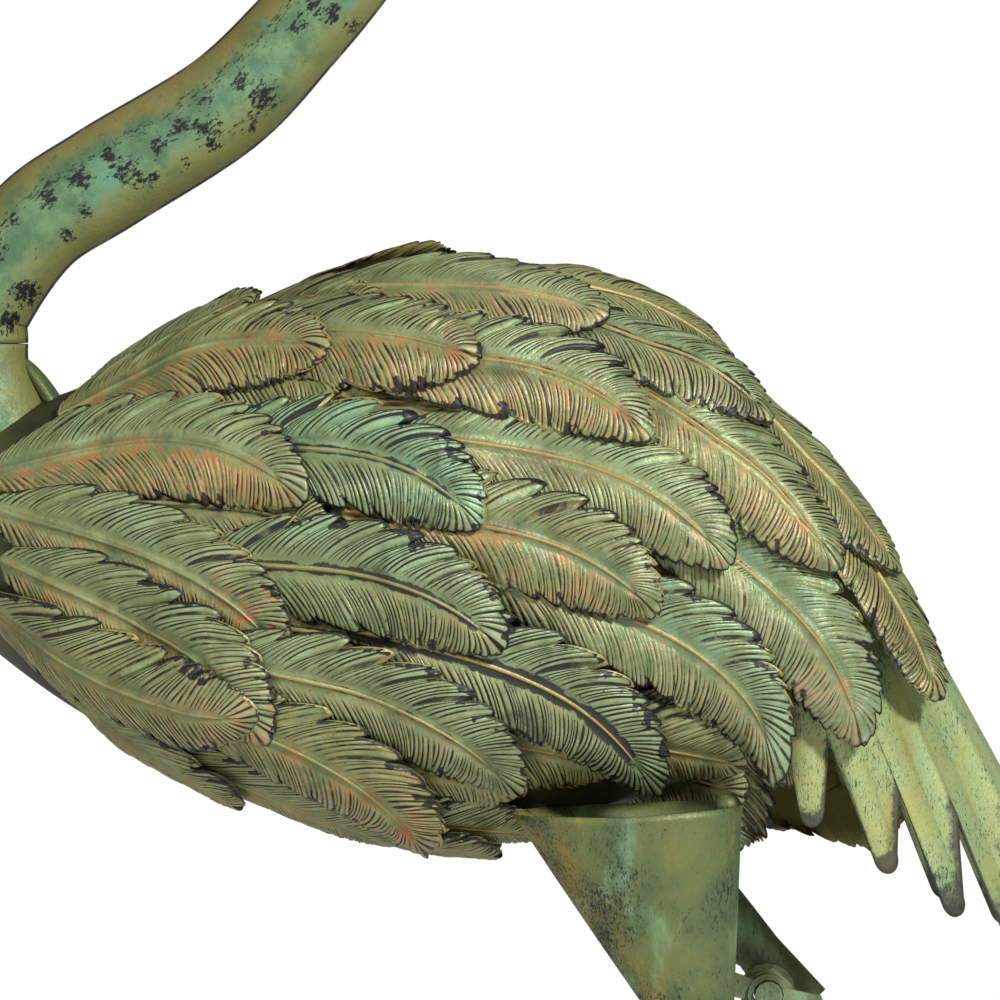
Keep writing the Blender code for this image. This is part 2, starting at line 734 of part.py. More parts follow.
def make_leg(leg, finish, foot_top):
    """A tube bent at the knee, with a flat lug on its upper end."""
    flip = -1.0 if leg["side"] == "near" else 1.0
    face = THIGH_END_Y - THIGH_TAB_DEPTH - FIT_GAP
    lug_y = flip * (face - LUG_THICKNESS / 2.0)
    bolt = Vector((leg["bolt"][0], 0.0, leg["bolt"][1]))
    knee = Vector((leg["knee"][0], 0.0, leg["knee"][1]))
    foot = Vector((leg["foot_x"], 0.0, foot_top))
    upper = (knee - bolt).normalized()
    lower = (foot - knee).normalized()
    start = bolt + upper * (LUG_RADIUS + LUG_NECK)
    ankle = foot - lower * ANKLE_RISE
    rows = [start, start + upper * TUBE_TAPER, knee - upper * KNEE_REACH, knee - upper * KNEE_HALF_LENGTH,
            knee + lower * KNEE_HALF_LENGTH, knee + lower * KNEE_REACH, ankle,
            foot + Vector((0.0, 0.0, ANKLE_COLLAR)), foot]
    halves = [LUG_THICKNESS, LEG_RADIUS, LEG_RADIUS, KNEE_RADIUS, KNEE_RADIUS, LEG_RADIUS, LEG_RADIUS,
              ANKLE_RADIUS, ANKLE_RADIUS]
    path = [(row.x, row.z, half) for row, half in zip(rows, halves)]
    tube = solid_of_rings(leg["side"] + "_leg", path_rings(path, 1.0, 12, lug_y), finish)
    across = Vector((-upper.z, 0.0, upper.x))
    outline = []
    for step in range(9):
        angle = math.pi * step / 8.0
        rounding = across * math.cos(angle) - upper * math.sin(angle)
        outline.append(bolt + rounding * LUG_RADIUS)
    tongue = start + upper * (TUBE_TAPER - 1.0)
    outline.append(tongue - across * (LEG_RADIUS - 1.0))
    outline.append(tongue + across * (LEG_RADIUS - 1.0))
    count = len(outline)
    points = []
    for y in (lug_y - LUG_THICKNESS / 2.0, lug_y + LUG_THICKNESS / 2.0):
        for place in outline:
            points.append((place.x, y, place.z))
    faces = [tuple(range(count)), tuple(count + index for index in reversed(range(count)))]
    for index in range(count):
        after = (index + 1) % count
        faces.append((index, count + index, count + after, after))
    lug = add_mesh(leg["side"] + "_lug_shape", points, faces, finish)
    join(tube, lug)
    return tube


def make_fasteners(leg, finish, shank):
    """The stud on the thigh, which passes through the lug, its hex nut and its wing nut."""
    flip = -1.0 if leg["side"] == "near" else 1.0
    x, z = leg["bolt"]
    side = leg["side"]
    stud_start = THIGH_END_Y - THIGH_TAB_DEPTH - FIT_GAP
    lug_inner = stud_start - LUG_THICKNESS
    nut_start = lug_inner - FIT_GAP
    nut_end = nut_start - HEX_NUT_HEIGHT
    wing_start = nut_end - FIT_GAP
    wing_end = wing_start - WING_HUB_HEIGHT
    bolt_end = wing_end - BOLT_END
    corner = NUT_ACROSS_FLATS / math.sqrt(3.0)
    hole_radius = BOLT_DIAMETER / 2.0 + BOLT_CLEARANCE

    cylinder_along_y(side + "_stud", x, z, BOLT_DIAMETER / 2.0, flip * stud_start, flip * bolt_end, 14,
                     finish)
    nut = cylinder_along_y(side + "_hex_nut", x, z, corner, flip * nut_start, flip * nut_end, 6, finish,
                           math.radians(HEX_TURN))
    hub = cylinder_along_y(side + "_wing_nut", x, z, WING_HUB_DIAMETER / 2.0, flip * wing_start,
                           flip * wing_end, 16, finish)
    lean = math.radians(WING_TURN)
    for sign in (-1.0, 1.0):
        along = Vector((sign * math.cos(lean), 0.0, sign * math.sin(lean)))
        square = Vector((-along.z, 0.0, along.x))
        middle = flip * (wing_start + wing_end) / 2.0
        corners = []
        for reach, height in ((WING_ROOT_REACH, WING_ROOT_HEIGHT),
                              (WING_SPAN / 2.0 - WING_SHOULDER, WING_HEIGHT / 2.0),
                              (WING_SPAN / 2.0, 2.0), (WING_SPAN / 2.0 - 1.0, WING_FOOT),
                              (WING_ROOT_REACH, WING_FOOT)):
            corners.append(Vector((x, middle, z)) + along * reach + square * height)
        count = len(corners)
        points = []
        for offset in (-WING_THICKNESS / 2.0, WING_THICKNESS / 2.0):
            for place in corners:
                points.append((place.x, place.y + offset, place.z))
        faces = [tuple(range(count)), tuple(count + index for index in reversed(range(count)))]
        for index in range(count):
            after = (index + 1) % count
            faces.append((index, count + index, count + after, after))
        wing = add_mesh(side + "_wing_shape", points, faces, finish)
        join(hub, wing)
    hole = cylinder_along_y(side + "_hole_shape", x, z, hole_radius, flip * (stud_start + HOLE_OVERRUN),
                            flip * (bolt_end - HOLE_OVERRUN), 14, finish)
    for target in (shank, nut, hub):
        cut(target, hole)


def make_foot(leg, finish):
    """Three toes forward and one back, cut from plate."""
    flip = -1.0 if leg["side"] == "near" else 1.0
    centre = Vector((leg["foot_x"], flip * (THIGH_END_Y - THIGH_TAB_DEPTH - LUG_THICKNESS / 2.0), 0.0))
    outline = []
    side_length = TOE_LENGTH * SIDE_TOE_SHARE
    for turn, length in ((180.0 - SIDE_TOE_TURN, side_length), (180.0, TOE_LENGTH),
                         (180.0 + SIDE_TOE_TURN, side_length), (0.0, HIND_TOE_LENGTH)):
        angle = math.radians(turn)
        along = Vector((math.cos(angle), math.sin(angle), 0.0))
        across = Vector((-along.y, along.x, 0.0))
        root = TOE_ROOT_WIDTH / 2.0
        tip = TOE_TIP_WIDTH / 2.0
        waist = length * TOE_NARROW_AT
        pad = length - TOE_PAD_LENGTH
        for reach, side in ((TOE_START, -root), (waist, -tip), (pad, -tip - TOE_PAD), (length, 0.0),
                            (pad, tip + TOE_PAD), (waist, tip), (TOE_START, root)):
            outline.append(centre + along * reach + across * side)
    bottom = BASE_THICKNESS + FIT_GAP
    count = len(outline)
    points = []
    for z in (bottom, bottom + FOOT_THICKNESS):
        for place in outline:
            points.append((place.x, place.y, z))
    faces = [tuple(reversed(range(count))), tuple(count + index for index in range(count))]
    for index in range(count):
        after = (index + 1) % count
        faces.append((index, after, count + after, count + index))
    return add_mesh(leg["side"] + "_foot", points, faces, finish)


def make_base(finish):
    sides = 40
    points = []
    for z, inset in ((0.0, BASE_EDGE), (BASE_EDGE, 0.0), (BASE_THICKNESS - BASE_EDGE, 0.0),
                     (BASE_THICKNESS, BASE_EDGE)):
        for side in range(sides):
            angle = 2.0 * math.pi * side / sides
            points.append(((BASE_LENGTH / 2.0 - inset) * math.cos(angle),
                           (BASE_WIDTH / 2.0 - inset) * math.sin(angle), z))
    faces = [tuple(reversed(range(sides)))]
    for ring in range(3):
        for side in range(sides):
            after = (side + 1) % sides
            a = ring * sides
            b = a + sides
            faces.append((a + side, a + after, b + after, b + side))
    faces.append(tuple(3 * sides + side for side in range(sides)))
    return add_mesh("base_plate", points, faces, finish)


def main():
    clear_scene()
    patina = material("green_patina", (0.26, 0.35, 0.2))
    smooth_patina = material("smooth_patina", (0.24, 0.34, 0.22))
    dark_metal = material("worn_hardware", (0.22, 0.24, 0.18), 0.5, 0.6)
    make_body(smooth_patina)
    body_cutter = body_skin("body_cutter", smooth_patina, FIT_GAP, True)
    make_tail(smooth_patina)
    make_feathers(patina)
    make_neck(smooth_patina, body_cutter)
    make_base(dark_metal)
    foot_top = BASE_THICKNESS + FIT_GAP + FOOT_THICKNESS + FIT_GAP
    for leg in (NEAR_LEG, FAR_LEG):
        make_thigh(leg, smooth_patina, body_cutter)
        shank = make_leg(leg, smooth_patina, foot_top)
        make_fasteners(leg, dark_metal, shank)
        make_foot(leg, smooth_patina)


main()
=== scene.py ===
"""Looks of the crane garden statue: relief, patina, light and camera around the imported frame.

The bird faces -X, its near side is -Y and its base stands on z = 0. The sizes in this file
are millimetres, and meshes are brought to metres when they are made.
"""

import json
from math import asin, atan2, cos, degrees, hypot, pi, radians, sin, sqrt

import bpy
import numpy as np
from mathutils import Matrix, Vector

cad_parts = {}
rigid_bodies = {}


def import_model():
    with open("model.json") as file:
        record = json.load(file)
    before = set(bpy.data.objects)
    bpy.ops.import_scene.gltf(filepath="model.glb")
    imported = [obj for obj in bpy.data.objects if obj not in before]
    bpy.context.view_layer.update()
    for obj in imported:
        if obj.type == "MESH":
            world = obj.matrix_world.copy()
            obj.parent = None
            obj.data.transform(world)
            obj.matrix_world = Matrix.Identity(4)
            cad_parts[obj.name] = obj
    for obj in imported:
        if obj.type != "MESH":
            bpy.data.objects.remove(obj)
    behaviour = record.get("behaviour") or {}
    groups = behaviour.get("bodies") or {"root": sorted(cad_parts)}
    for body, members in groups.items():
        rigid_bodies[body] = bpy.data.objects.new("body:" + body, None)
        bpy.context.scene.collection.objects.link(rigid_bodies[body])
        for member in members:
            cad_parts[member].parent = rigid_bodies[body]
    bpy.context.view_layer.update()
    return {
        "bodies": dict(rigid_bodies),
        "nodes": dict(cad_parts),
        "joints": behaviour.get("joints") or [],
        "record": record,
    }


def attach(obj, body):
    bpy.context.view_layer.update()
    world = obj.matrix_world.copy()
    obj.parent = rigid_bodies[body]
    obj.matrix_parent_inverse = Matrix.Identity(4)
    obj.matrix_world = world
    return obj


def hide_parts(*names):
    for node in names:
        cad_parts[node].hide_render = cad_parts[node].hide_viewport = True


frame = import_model()

MM = 0.001
BODY = "root"

# Sizes shared with the solids
FEATHER_SHEET = 0.8
SHELL_SHEET = 1.5
TAIL_SHEET = 1.2
THIGH_SHEET = 1.2
FIT_GAP = 0.35
TAIL_SEAM_GAP = 0.8
FEATHER_HALF_WIDTH = 20.5
FEATHER_ROLL = 3.0
VANE_ROOT_SHARE = 0.35
VANE_FULL_AT = 0.42
VANE_CLOSES_FROM = 0.5
# Round closing of the outline at the tip: as it is laid, and as it is stamped and seen
LAID_OUTLINE = (2.6, 0.7)
SEEN_OUTLINE = (3.0, 0.62)
VANE_RADIUS = 75.0
ROOT_LIFT = 1.8
TIP_LIFT = 8.0
USUAL_LIFT = 9.0
STACK_CLEARANCE = 1.0
STACK_CELL = 2.8
DRAPE_ROWS = 7
DRAPE_PASSES = 10
STACK_PASSES = 2
LAY_ROWS = 48
LAY_COLUMNS = 7
LAY_MARGIN = 1.08
LAY_TO = 0.93
HOLDING_WEIGHT = 0.02
SETTLE_SHARE = 0.6
TAIL_STACK_STEPS = 8
TAIL_STACK_ROWS = 40
RIDGE_GAP = 1.2
NECK_SQUASH = 0.92

# Body sections: x, top z, bottom z, half width
BODY_SECTIONS = [
    (-230, 541, 522, 8),
    (-220, 558, 506, 24),
    (-198, 571, 486, 41),
    (-170, 581, 466, 53),
    (-126, 600, 442, 64),
    (-60, 625, 423, 71),
    (-10, 625, 423, 70),
    (35, 609, 432, 66),
    (70, 581, 440, 59),
    (105, 541, 408, 49),
    (145, 468, 380, 40),
]
SHELL_RING_SPACING = 1.35
SHELL_RINGS = 60
SHELL_SIDES = 96
BARE_BREAST = (186.0, 212.0)
SHELL_END_BELOW = 65.0
SHELL_END_ABOVE = 100.0

# Tail fingers from the lower edge to the ridge: tip and the slot above it, as x, half spread, z
TAIL_FINGERS = [
    ((88, 50, 429), (94, 50, 459)),
    ((115, 47, 412), (119, 44, 441)),
    ((139, 39, 396), (140, 34, 431)),
    ((159, 25, 388), (162, 15, 425)),
]
TAIL_RIDGE_TIP = (179.0, 0.0, 402.0)
TAIL_LOWER_CORNER = (81.5, 50.0, 455.0)
TAIL_LOWEST_ANGLE = -39.0
TAIL_FLUTE = 1.6
TAIL_ROWS = 36
OUTLINE_STEPS = 8
FLUTE_GROWS = 1.25
WORN_TIP = 5.0
FINGER_TIP_WIDTH = 10.0
FINGER_TIP_LENGTH = 9.0
ROUND_TIP_LENGTH = 6.0
ROUND_TIP_HALF = 4.3

# Neck in side view from the body up: x, z, half width in side view
NECK_PATH = [
    (-199, 556, 25),
    (-203, 571, 21.5),
    (-206, 585, 18.5),
    (-206, 597, 17.3),
    (-204.5, 611, 17.9),
    (-186, 638, 18.4),
    (-160, 655.5, 18.9),
    (-119, 681, 18.2),
    (-93, 707, 17),
    (-74, 729, 16.2),
    (-58, 752, 15.6),
    (-49, 778, 15),
    (-48, 806, 14.4),
    (-56, 833, 13.8),
    (-73, 857, 13.3),
    (-96, 873, 13),
    (-112, 879, 16),
    (-129, 880, 16.5),
    (-143, 876.5, 13),
    (-153, 873, 8.5),
    (-190, 864.5, 6),
    (-228, 856, 3.6),
    (-262, 848, 1),
]
LOWER_SEAM_ROW = 3
HEAD_SEAM_ROW = 15

# Feathers of one side, each laid over the ones before it:
# name, root x, root z, tip x, tip z, bow of the midrib, roll, whether the far side's one is a CAD
# node, and tints from 0 to 1: ochre above the midrib, ochre below it, orange below it, orange at
# the tip, teal, black wear
FEATHERS = [
    ("belly_3", -8, 463, 66, 449, 1, 1, True, (0.5, 0.6, 0.15, 0.1, 0.15, 0.5)),
    ("belly_2", -62, 462, 22, 448, 3, 1, False, (0.45, 0.55, 0.15, 0.2, 0.3, 0.55)),
    ("belly_1", -96, 453, -14, 440, 3, 1, False, (0.6, 0.6, 0.2, 0.2, 0.1, 0.6)),
    ("rump_5", 77, 567, 133, 471, 5, -1, True, (0.5, 0.6, 0.35, 0.35, 0.25, 0.7)),
    ("rump_4", 49, 595, 120, 516, 4, -1, True, (0.45, 0.55, 0.3, 0.35, 0.3, 0.7)),
    # rump_3's strong teal is partly its own paint, partly a painted highlight for the sheen on it
    ("rump_3", 18, 551, 105, 457, 15, -1, True, (0.25, 0.35, 0.3, 0.55, 0.8, 0.4)),
    ("rump_2", 0, 597, 97, 517, 10, -1, True, (0.4, 0.7, 0.45, 0.55, 0.5, 0.7)),
    ("rump_1", -21, 612, 75, 569, 10, -1, True, (0.3, 0.5, 0.25, 0.25, 0.35, 1.0)),
    ("back_3", -91, 617, 18, 607, 6, 0.5, True, (0.4, 0.6, 0.45, 0.3, 0.5, 0.6)),
    ("flank_6", -28, 518, 76, 449, 19, 1, True, (0.25, 0.45, 0.35, 0.25, 0.8, 0.6)),
    ("wing_4", -56, 567, 59, 520, 15, 1, False, (0.35, 0.5, 0.25, 0.35, 0.6, 0.6)),
    ("wing_3", -76, 540, 34, 503, 13, 1, True, (0.5, 0.7, 0.6, 0.3, 0.7, 0.65)),
    ("flank_5", -74, 499, 34, 438.5, 16, 1, True, (0.3, 0.45, 0.1, 0.2, 0.45, 1.35)),
    ("wing_2", -80, 592, 32, 564, 15, 1, False, (0.35, 0.7, 0.55, 0.45, 0.4, 0.7)),
    ("back_2", -126, 600, -27, 592, 6, 1, False, (0.4, 0.7, 0.7, 0.6, 0.35, 0.6)),
    ("back_1", -165, 586, -106, 615, 3, 1, False, (0.4, 0.5, 0.2, 0.2, 0.2, 0.6)),
    ("back_0", -176, 572, -80, 595, 12, 1, True, (0.55, 0.8, 0.6, 0.45, 0.2, 0.5)),
    ("wing_1", -130, 560, -27, 534, 15, 1, False, (0.15, 0.35, 0.0, 0.0, 0.65, 0.9)),
    ("breast_4", -200, 552, -88, 542, 18, 1, True, (0.35, 0.75, 0.75, 0.3, 0.35, 0.45)),
    ("flank_4", -130, 522, -19, 491, 13, 1, False, (0.25, 0.45, 0.05, 0.25, 0.25, 1.0)),
    ("breast_3", -200, 540, -95, 488, 11, 1, False, (0.35, 0.6, 0.35, 0.95, 0.15, 0.55)),
    ("belly_0", -150, 458, -57, 420, -1, 1, False, (0.55, 0.6, 0.3, 0.2, 0.1, 0.6)),
    ("flank_3", -133, 490, -13, 438.5, 13, 1, False, (0.35, 0.45, 0.15, 0.15, 0.35, 0.7)),
    ("flank_2", -133, 472, -45.5, 417, 10, 1, True, (0.6, 0.6, 0.45, 0.9, 0.1, 0.55)),
    ("breast_0", -175, 474, -111, 433, -2, 1, False, (0.55, 0.6, 0.3, 0.3, 0.1, 0.5)),
    ("breast_2", -196, 522, -102, 458, 10, 1, True, (0.35, 0.65, 0.35, 0.55, 0.2, 0.6)),
    ("breast_1", -206, 508, -104, 470, -11, 1, False, (0.5, 0.6, 0.3, 0.55, 0.15, 0.6)),
]

# Feathers under the others, which only the scene has:
# name, root x, root z, tip x, tip z, bow of the midrib, lift of the tip, on the near side too
EXTRA_FEATHERS = [
    ("inner_ridge", -106, 612, -33, 625.5, 2, 7, False),
    ("ridge_1", -14, 622, 62, 594, 6, 4, True),
    ("ridge_2", -128, 600, -62, 612, 4, 3, True),
    ("under_1", -150, 583, -75, 583, 4, 3.5, True),
    ("under_2", -154, 542.5, -80.5, 532, 4, 3.5, True),
    ("under_3", -80, 577, -20, 572, 3, 3.5, True),
    ("under_4", 8, 537, 66, 505, 4, 3.5, True),
    ("under_5", -108, 500, -40, 484, 4, 3.5, True),
    ("under_6", -92, 432, -4, 424, 0, 6, True),
    ("under_7", -80, 428, -20, 415.5, -2, 9, True),
    ("under_8", 20, 470, 88, 444, 4, 3, True),
]
# Feathers that hang free below the shell: as above up to the bow, then distance from the middle,
# lean in degrees, and whether they are on the near side
HANGING_FEATHERS = [
    ("hanging_1", 18, 440, 113, 427.5, 1, 50, 48, False),
    ("hanging_2", 62, 439, 125, 424, 1, 46, 40, False),
    ("hanging_3", -30, 455, 67, 437, 4, 30, 25, True),
    ("hanging_4", 53, 472, 58.5, 416, 0, 22, 0, True),
]
EXTRA_TINTS = (0.55, 0.6, 0.15, 0.1, 0.15, 0.85)
EXTRA_ROOT_LIFT = 1.0
EXTRA_ROLL = 0.5
# What the finish reads of a feather's under face
UNDERSIDE = {"edge": 3.0, "ochre": 0.5, "orange": 0.05, "teal": 0.1, "wear": 0.4, "inner": 1.0}
# Midribs are gilt from this x back, fully so after the distance given
GILT_FROM = -130.0
GILT_OVER = 150.0
LEAST_GILT = 0.2

# Relief of a feather
# Barb pitch and rows of the grid to a barb: feathers in front, those between them, far side
NEAR_GRID = (2.05, 5)
BETWEEN_GRID = (2.05, 4)
FAR_GRID = (3.0, 4)
VANE_COLUMNS = 9
BARB_SHARPNESS = 4.0
UPPER_BARB_RISE = 0.26
LOWER_BARB_RISE = 0.34
RIB_HALF_WIDTH = 1.05
RIB_RISE = 0.85
RIB_FADE = (0.84, 0.95)
RIB_STEPS = np.array([-1.0, -0.62, -0.3, 0.0, 0.3, 0.62, 1.0])
BARB_SPACING = (0.55, 1.45)
BARB_STRENGTH = (0.45, 1.2)
UPPER_BARB_BEND = 1.45
LOWER_BARB_BEND = 1.5
WAVE_TURNS = 9.0
WAVE_HEIGHT = 0.8
LINE_WIDTH = 3.4
FAR_FROM_EDGE = 5.0
FAN_FROM = 0.78
FAN_SHARE = 0.42
VANE_DOME = 1.1
LOBE_STEP = 0.55
LEAST_VANE = 0.2
EDGE_CURL = 0.6
UPPER_RAKE = 17.0
LOWER_RAKE = 13.0
UPPER_LOBES = (0.0, 0.13, 0.26, 0.385, 0.5, 0.61, 0.7, 0.78)
LOWER_LOBES = (0.0, 0.13, 0.27, 0.41, 0.53, 0.62, 0.7, 0.77)
SCALLOP = 0.05
UPPER_LOBE_DEPTH = 0.28
LOWER_LOBE_DEPTH = 0.19
LOBE_ROUNDING = 0.08
LOBE_HOOK = 3.8
LOBE_SHIFT = 0.012
LOBE_SPREAD = (0.75, 1.2)
SCALLOP_SPREAD = (0.8, 1.25)
SCALLOP_DEPTH_SPREAD = (0.5, 1.5)
TIP_NOTCH = 14.0
SCALLOP_DEPTH = 0.11
FRAME_SAMPLES = 61
NARROWEST = 0.15


def smooth_value(x, rows, column):
    """Read one column of a table at x, on a smooth curve through its rows."""
    last = len(rows) - 1
    index = 0
    while index < last - 1 and x > rows[index + 1][0]:
        index += 1

    def slope(row):
        before = rows[max(row - 1, 0)]
        after = rows[min(row + 1, last)]
        return (after[column] - before[column]) / (after[0] - before[0])

    start = rows[index]
    end = rows[index + 1]
    span = end[0] - start[0]
    part = min(max((x - start[0]) / span, 0.0), 1.0)
    weight = part * part * (3.0 - 2.0 * part)
    leaving = slope(index) * span * part * (1.0 - part) ** 2
    arriving = slope(index + 1) * span * part * part * (1.0 - part)
    return start[column] * (1.0 - weight) + end[column] * weight + leaving - arriving


def body_section(x):
    """Centre height, half height and half width of the body shell at x."""
    top = smooth_value(x, BODY_SECTIONS, 1)
    bottom = smooth_value(x, BODY_SECTIONS, 2)
    return (top + bottom) / 2.0, (top - bottom) / 2.0, smooth_value(x, BODY_SECTIONS, 3)


def on_body(x, angle):
    """Point of the shell's outer face; angle 0 is the near side, 90 degrees the ridge."""
    centre, half_height, half_width = body_section(x)
    return Vector((x, -half_width * cos(angle), centre + half_height * sin(angle)))


def body_normal(x, angle):
    """Way out of the shell's outer face."""
    step = 0.5
    along = on_body(x + step, angle) - on_body(x - step, angle)
    around = on_body(x, angle + 0.01) - on_body(x, angle - 0.01)
    return along.cross(around).normalized()


def height_over_body(point):
    """Place of a point over the shell: x, arc length around it, and height above it."""
    centre, half_height, half_width = body_section(point.x)
    up = (point.z - centre) / half_height
    out = -point.y / half_width
    angle = atan2(up, out)
    reach = hypot(half_width * cos(angle), half_height * sin(angle))
    return point.x, angle * half_height, (hypot(up, out) - 1.0) * reach


def shell_end(angle):
    """The shell runs further back along its ridge than along its belly."""
    share = (degrees(asin(sin(angle))) + 90.0) / 180.0
    return SHELL_END_BELOW + (SHELL_END_ABOVE - SHELL_END_BELOW) * share


def tail_outline():
    """Lower outline of one half of the fan, four points to a finger."""
    outline = [Vector(TAIL_LOWER_CORNER)]
    for tip, slot in TAIL_FINGERS:
        before = outline[-1]
        slot = Vector(slot)
        tip = Vector(tip)
        across = (slot - before).normalized() * (FINGER_TIP_WIDTH / 2.0)
        back = (before.lerp(slot, 0.5) - tip).normalized() * FINGER_TIP_LENGTH
        outline.append(tip + back - across)
        outline.append(tip)
        outline.append(tip + back + across)
        outline.append(slot)
    ridge_tip = Vector(TAIL_RIDGE_TIP)
    beside = outline[-1].lerp(ridge_tip, 0.62)
    beside.y = outline[-1].y * 0.6
    outline.append(beside)
    outline.append(ridge_tip)
    return outline


def tail_ruling(number, end, last):
    """Rim point, normal and outer point of one ruling of the fan."""
    lowest = radians(TAIL_LOWEST_ANGLE)
    angle = lowest + (pi / 2.0 - lowest) * number / last
    rim_x = shell_end(angle) + TAIL_SEAM_GAP
    return on_body(rim_x, angle), body_normal(rim_x, angle), Vector((end.x, -end.y, end.z))


def midrib_in_side_view(feather, share):
    """Side-view place of the midrib: a chord with a bow that peaks past its middle."""
    _, root_x, root_z, tip_x, tip_z, bow = feather[:6]
    length = hypot(tip_x - root_x, tip_z - root_z)
    even = 4.0 * share * (1.0 - share)
    late = 6.75 * share * share * (1.0 - share)
    rise = bow * (even + late) / 2.0
    x = root_x + (tip_x - root_x) * share - (tip_z - root_z) / length * rise
    z = root_z + (tip_z - root_z) * share + (tip_x - root_x) / length * rise
    return x, z


def lift_at(lifts, share):
    """Height of the midrib over the shell, from its heights at even shares."""
    place = share * (len(lifts) - 1)
    row = min(int(place), len(lifts) - 2)
    return lifts[row] + (lifts[row + 1] - lifts[row]) * (place - row)


def under_midrib(feather, share, lifts):
    """Point of the shell from which the lifted midrib is seen in its side-view place."""
    x, z = midrib_in_side_view(feather, share)
    lift = lift_at(lifts, share)
    shell_x = x
    shell_z = z
    for _ in range(3):
        centre, half_height, _ = body_section(shell_x)
        angle = asin(min(max((shell_z - centre) / half_height, -0.97), 0.97))
        normal = body_normal(shell_x, angle)
        shell_x = x - normal.x * lift
        shell_z = z - normal.z * lift
    return on_body(shell_x, angle), normal


def vane_half_width(share, outline):
    """Half width of a feather: a narrow root, full past the middle, round to the tip."""
    roundness, fullness = outline
    filling = 1.0 - (1.0 - np.minimum(share / VANE_FULL_AT, 1.0)) ** 2
    past = np.maximum(0.0, (share - VANE_CLOSES_FROM) / (1.0 - VANE_CLOSES_FROM))
    closing = np.maximum(0.0, 1.0 - past ** roundness)
    return FEATHER_HALF_WIDTH * (VANE_ROOT_SHARE + (1.0 - VANE_ROOT_SHARE) * filling) * closing ** fullness


def feather_frame(feather, share, lifts):
    """Shell point under the midrib, the way across towards the ridge, and the way out."""
    step = 0.02
    here, normal = under_midrib(feather, share, lifts)
    before, _ = under_midrib(feather, max(share - step, 0.0), lifts)
    after, _ = under_midrib(feather, min(share + step, 1.0), lifts)
    along = (after - before).normalized()
    up = normal.cross(along).normalized()
    return here, up, along.cross(up)


def hanging_frame(feather, share, middle, lean):
    """Place, way across and way out along a feather that hangs beside the middle plane."""
    x, z = midrib_in_side_view(feather, share)
    before_x, before_z = midrib_in_side_view(feather, share - 0.01)
    normal = Vector((0.0, -cos(radians(lean)), -sin(radians(lean))))
    along = Vector((x - before_x, 0.0, z - before_z)).normalized()
    up = normal.cross(along).normalized()
    return Vector((x, -middle, z)), up, along.cross(up)


def drape_weights(share, side):
    """Knots of the drape around a place, each with its weight."""
    place = share * (DRAPE_ROWS - 1)
    row = min(int(place), DRAPE_ROWS - 2)
    part = place - row
    reach = min(abs(side), 1.0)
    outer = 0 if side < 0.0 else 2
    return ((row, 1, (1.0 - part) * (1.0 - reach)), (row + 1, 1, part * (1.0 - reach)),
            (row, outer, (1.0 - part) * reach), (row + 1, outer, part * reach))


def lay_feather(feather, stack, lifts):
    """Heights of a feather that clears all that is already stacked under it."""
    cells = []
    heights = []
    weights = []
    bounds = []
    for along in range(LAY_ROWS + 1):
        share = along / LAY_ROWS
        here, up, out = feather_frame(feather, share, lifts)
        reach = LAY_MARGIN * float(vane_half_width(min(share, LAY_TO), LAID_OUTLINE))
        for column in range(-LAY_COLUMNS, LAY_COLUMNS + 1):
            across = reach * column / LAY_COLUMNS
            side = across / FEATHER_HALF_WIDTH
            rise = feather[6] * FEATHER_ROLL * side - across * across / (2.0 * VANE_RADIUS)
            point = here + up * across + out * rise
            point.y = min(point.y, -RIDGE_GAP)
            x, arc, height = height_over_body(point)
            cell = (round(x / STACK_CELL), round(arc / STACK_CELL))
            around = ((0, 0), (1, 0), (-1, 0), (0, 1), (0, -1))
            below = max(stack.get((cell[0] + i, cell[1] + j), 0.0) for i, j in around)
            pull = np.zeros((DRAPE_ROWS, 3))
            for row, knot, weight in drape_weights(share, side):
                pull[row][knot] += weight
            cells.append(cell)
            heights.append(height)
            weights.append(pull.ravel())
            bounds.append(below + FEATHER_SHEET + STACK_CLEARANCE - height)
    weights = np.array(weights)
    bounds = np.array(bounds)
    least = np.repeat(np.linspace(ROOT_LIFT, TIP_LIFT, DRAPE_ROWS), 3)
    drape = least.copy()
    for knot in range(len(drape)):
        held = weights[:, knot] > 0.0
        drape[knot] = max(drape[knot], bounds[held].max())
    for _ in range(DRAPE_PASSES):
        for knot in range(len(drape)):
            held = weights[:, knot] > HOLDING_WEIGHT
            spare = ((weights[held] @ drape - bounds[held]) / weights[held, knot]).min()
            drape[knot] -= min(max(spare, 0.0) * SETTLE_SHARE, drape[knot] - least[knot])
    for cell, top in zip(cells, np.array(heights) + weights @ drape):
        stack[cell] = max(stack.get(cell, 0.0), top)
    return drape.reshape((DRAPE_ROWS, 3))


def tail_in_stack():
    """The stack with only the tail in it, so that the feathers are laid over the tail."""
    stack = {}
    outline = tail_outline()
    for number in range(len(outline) - 1):
        for step in range(TAIL_STACK_STEPS + 1):
            part = step / TAIL_STACK_STEPS
            end = outline[number].lerp(outline[number + 1], part)
            rim, _, outer = tail_ruling(number + part, end, len(outline) - 1)
            for row in range(TAIL_STACK_ROWS + 1):
                x, arc, height = height_over_body(rim.lerp(outer, row / TAIL_STACK_ROWS))
                cell = (round(x / STACK_CELL), round(arc / STACK_CELL))
                stack[cell] = max(stack.get(cell, 0.0), height + TAIL_FLUTE)
    return stack


def lay_feathers(feathers):
    """Lay one side's feathers in turn; a second pass puts the lifted midribs in their places."""
    all_lifts = [[ROOT_LIFT, USUAL_LIFT] for _ in feathers]
    for _ in range(STACK_PASSES):
        stack = tail_in_stack()
        drapes = [lay_feather(feather, stack, lifts) for feather, lifts in zip(feathers, all_lifts)]
        laid = list(zip(all_lifts, drapes))
        all_lifts = [drape[:, 1] for drape in drapes]
    return laid


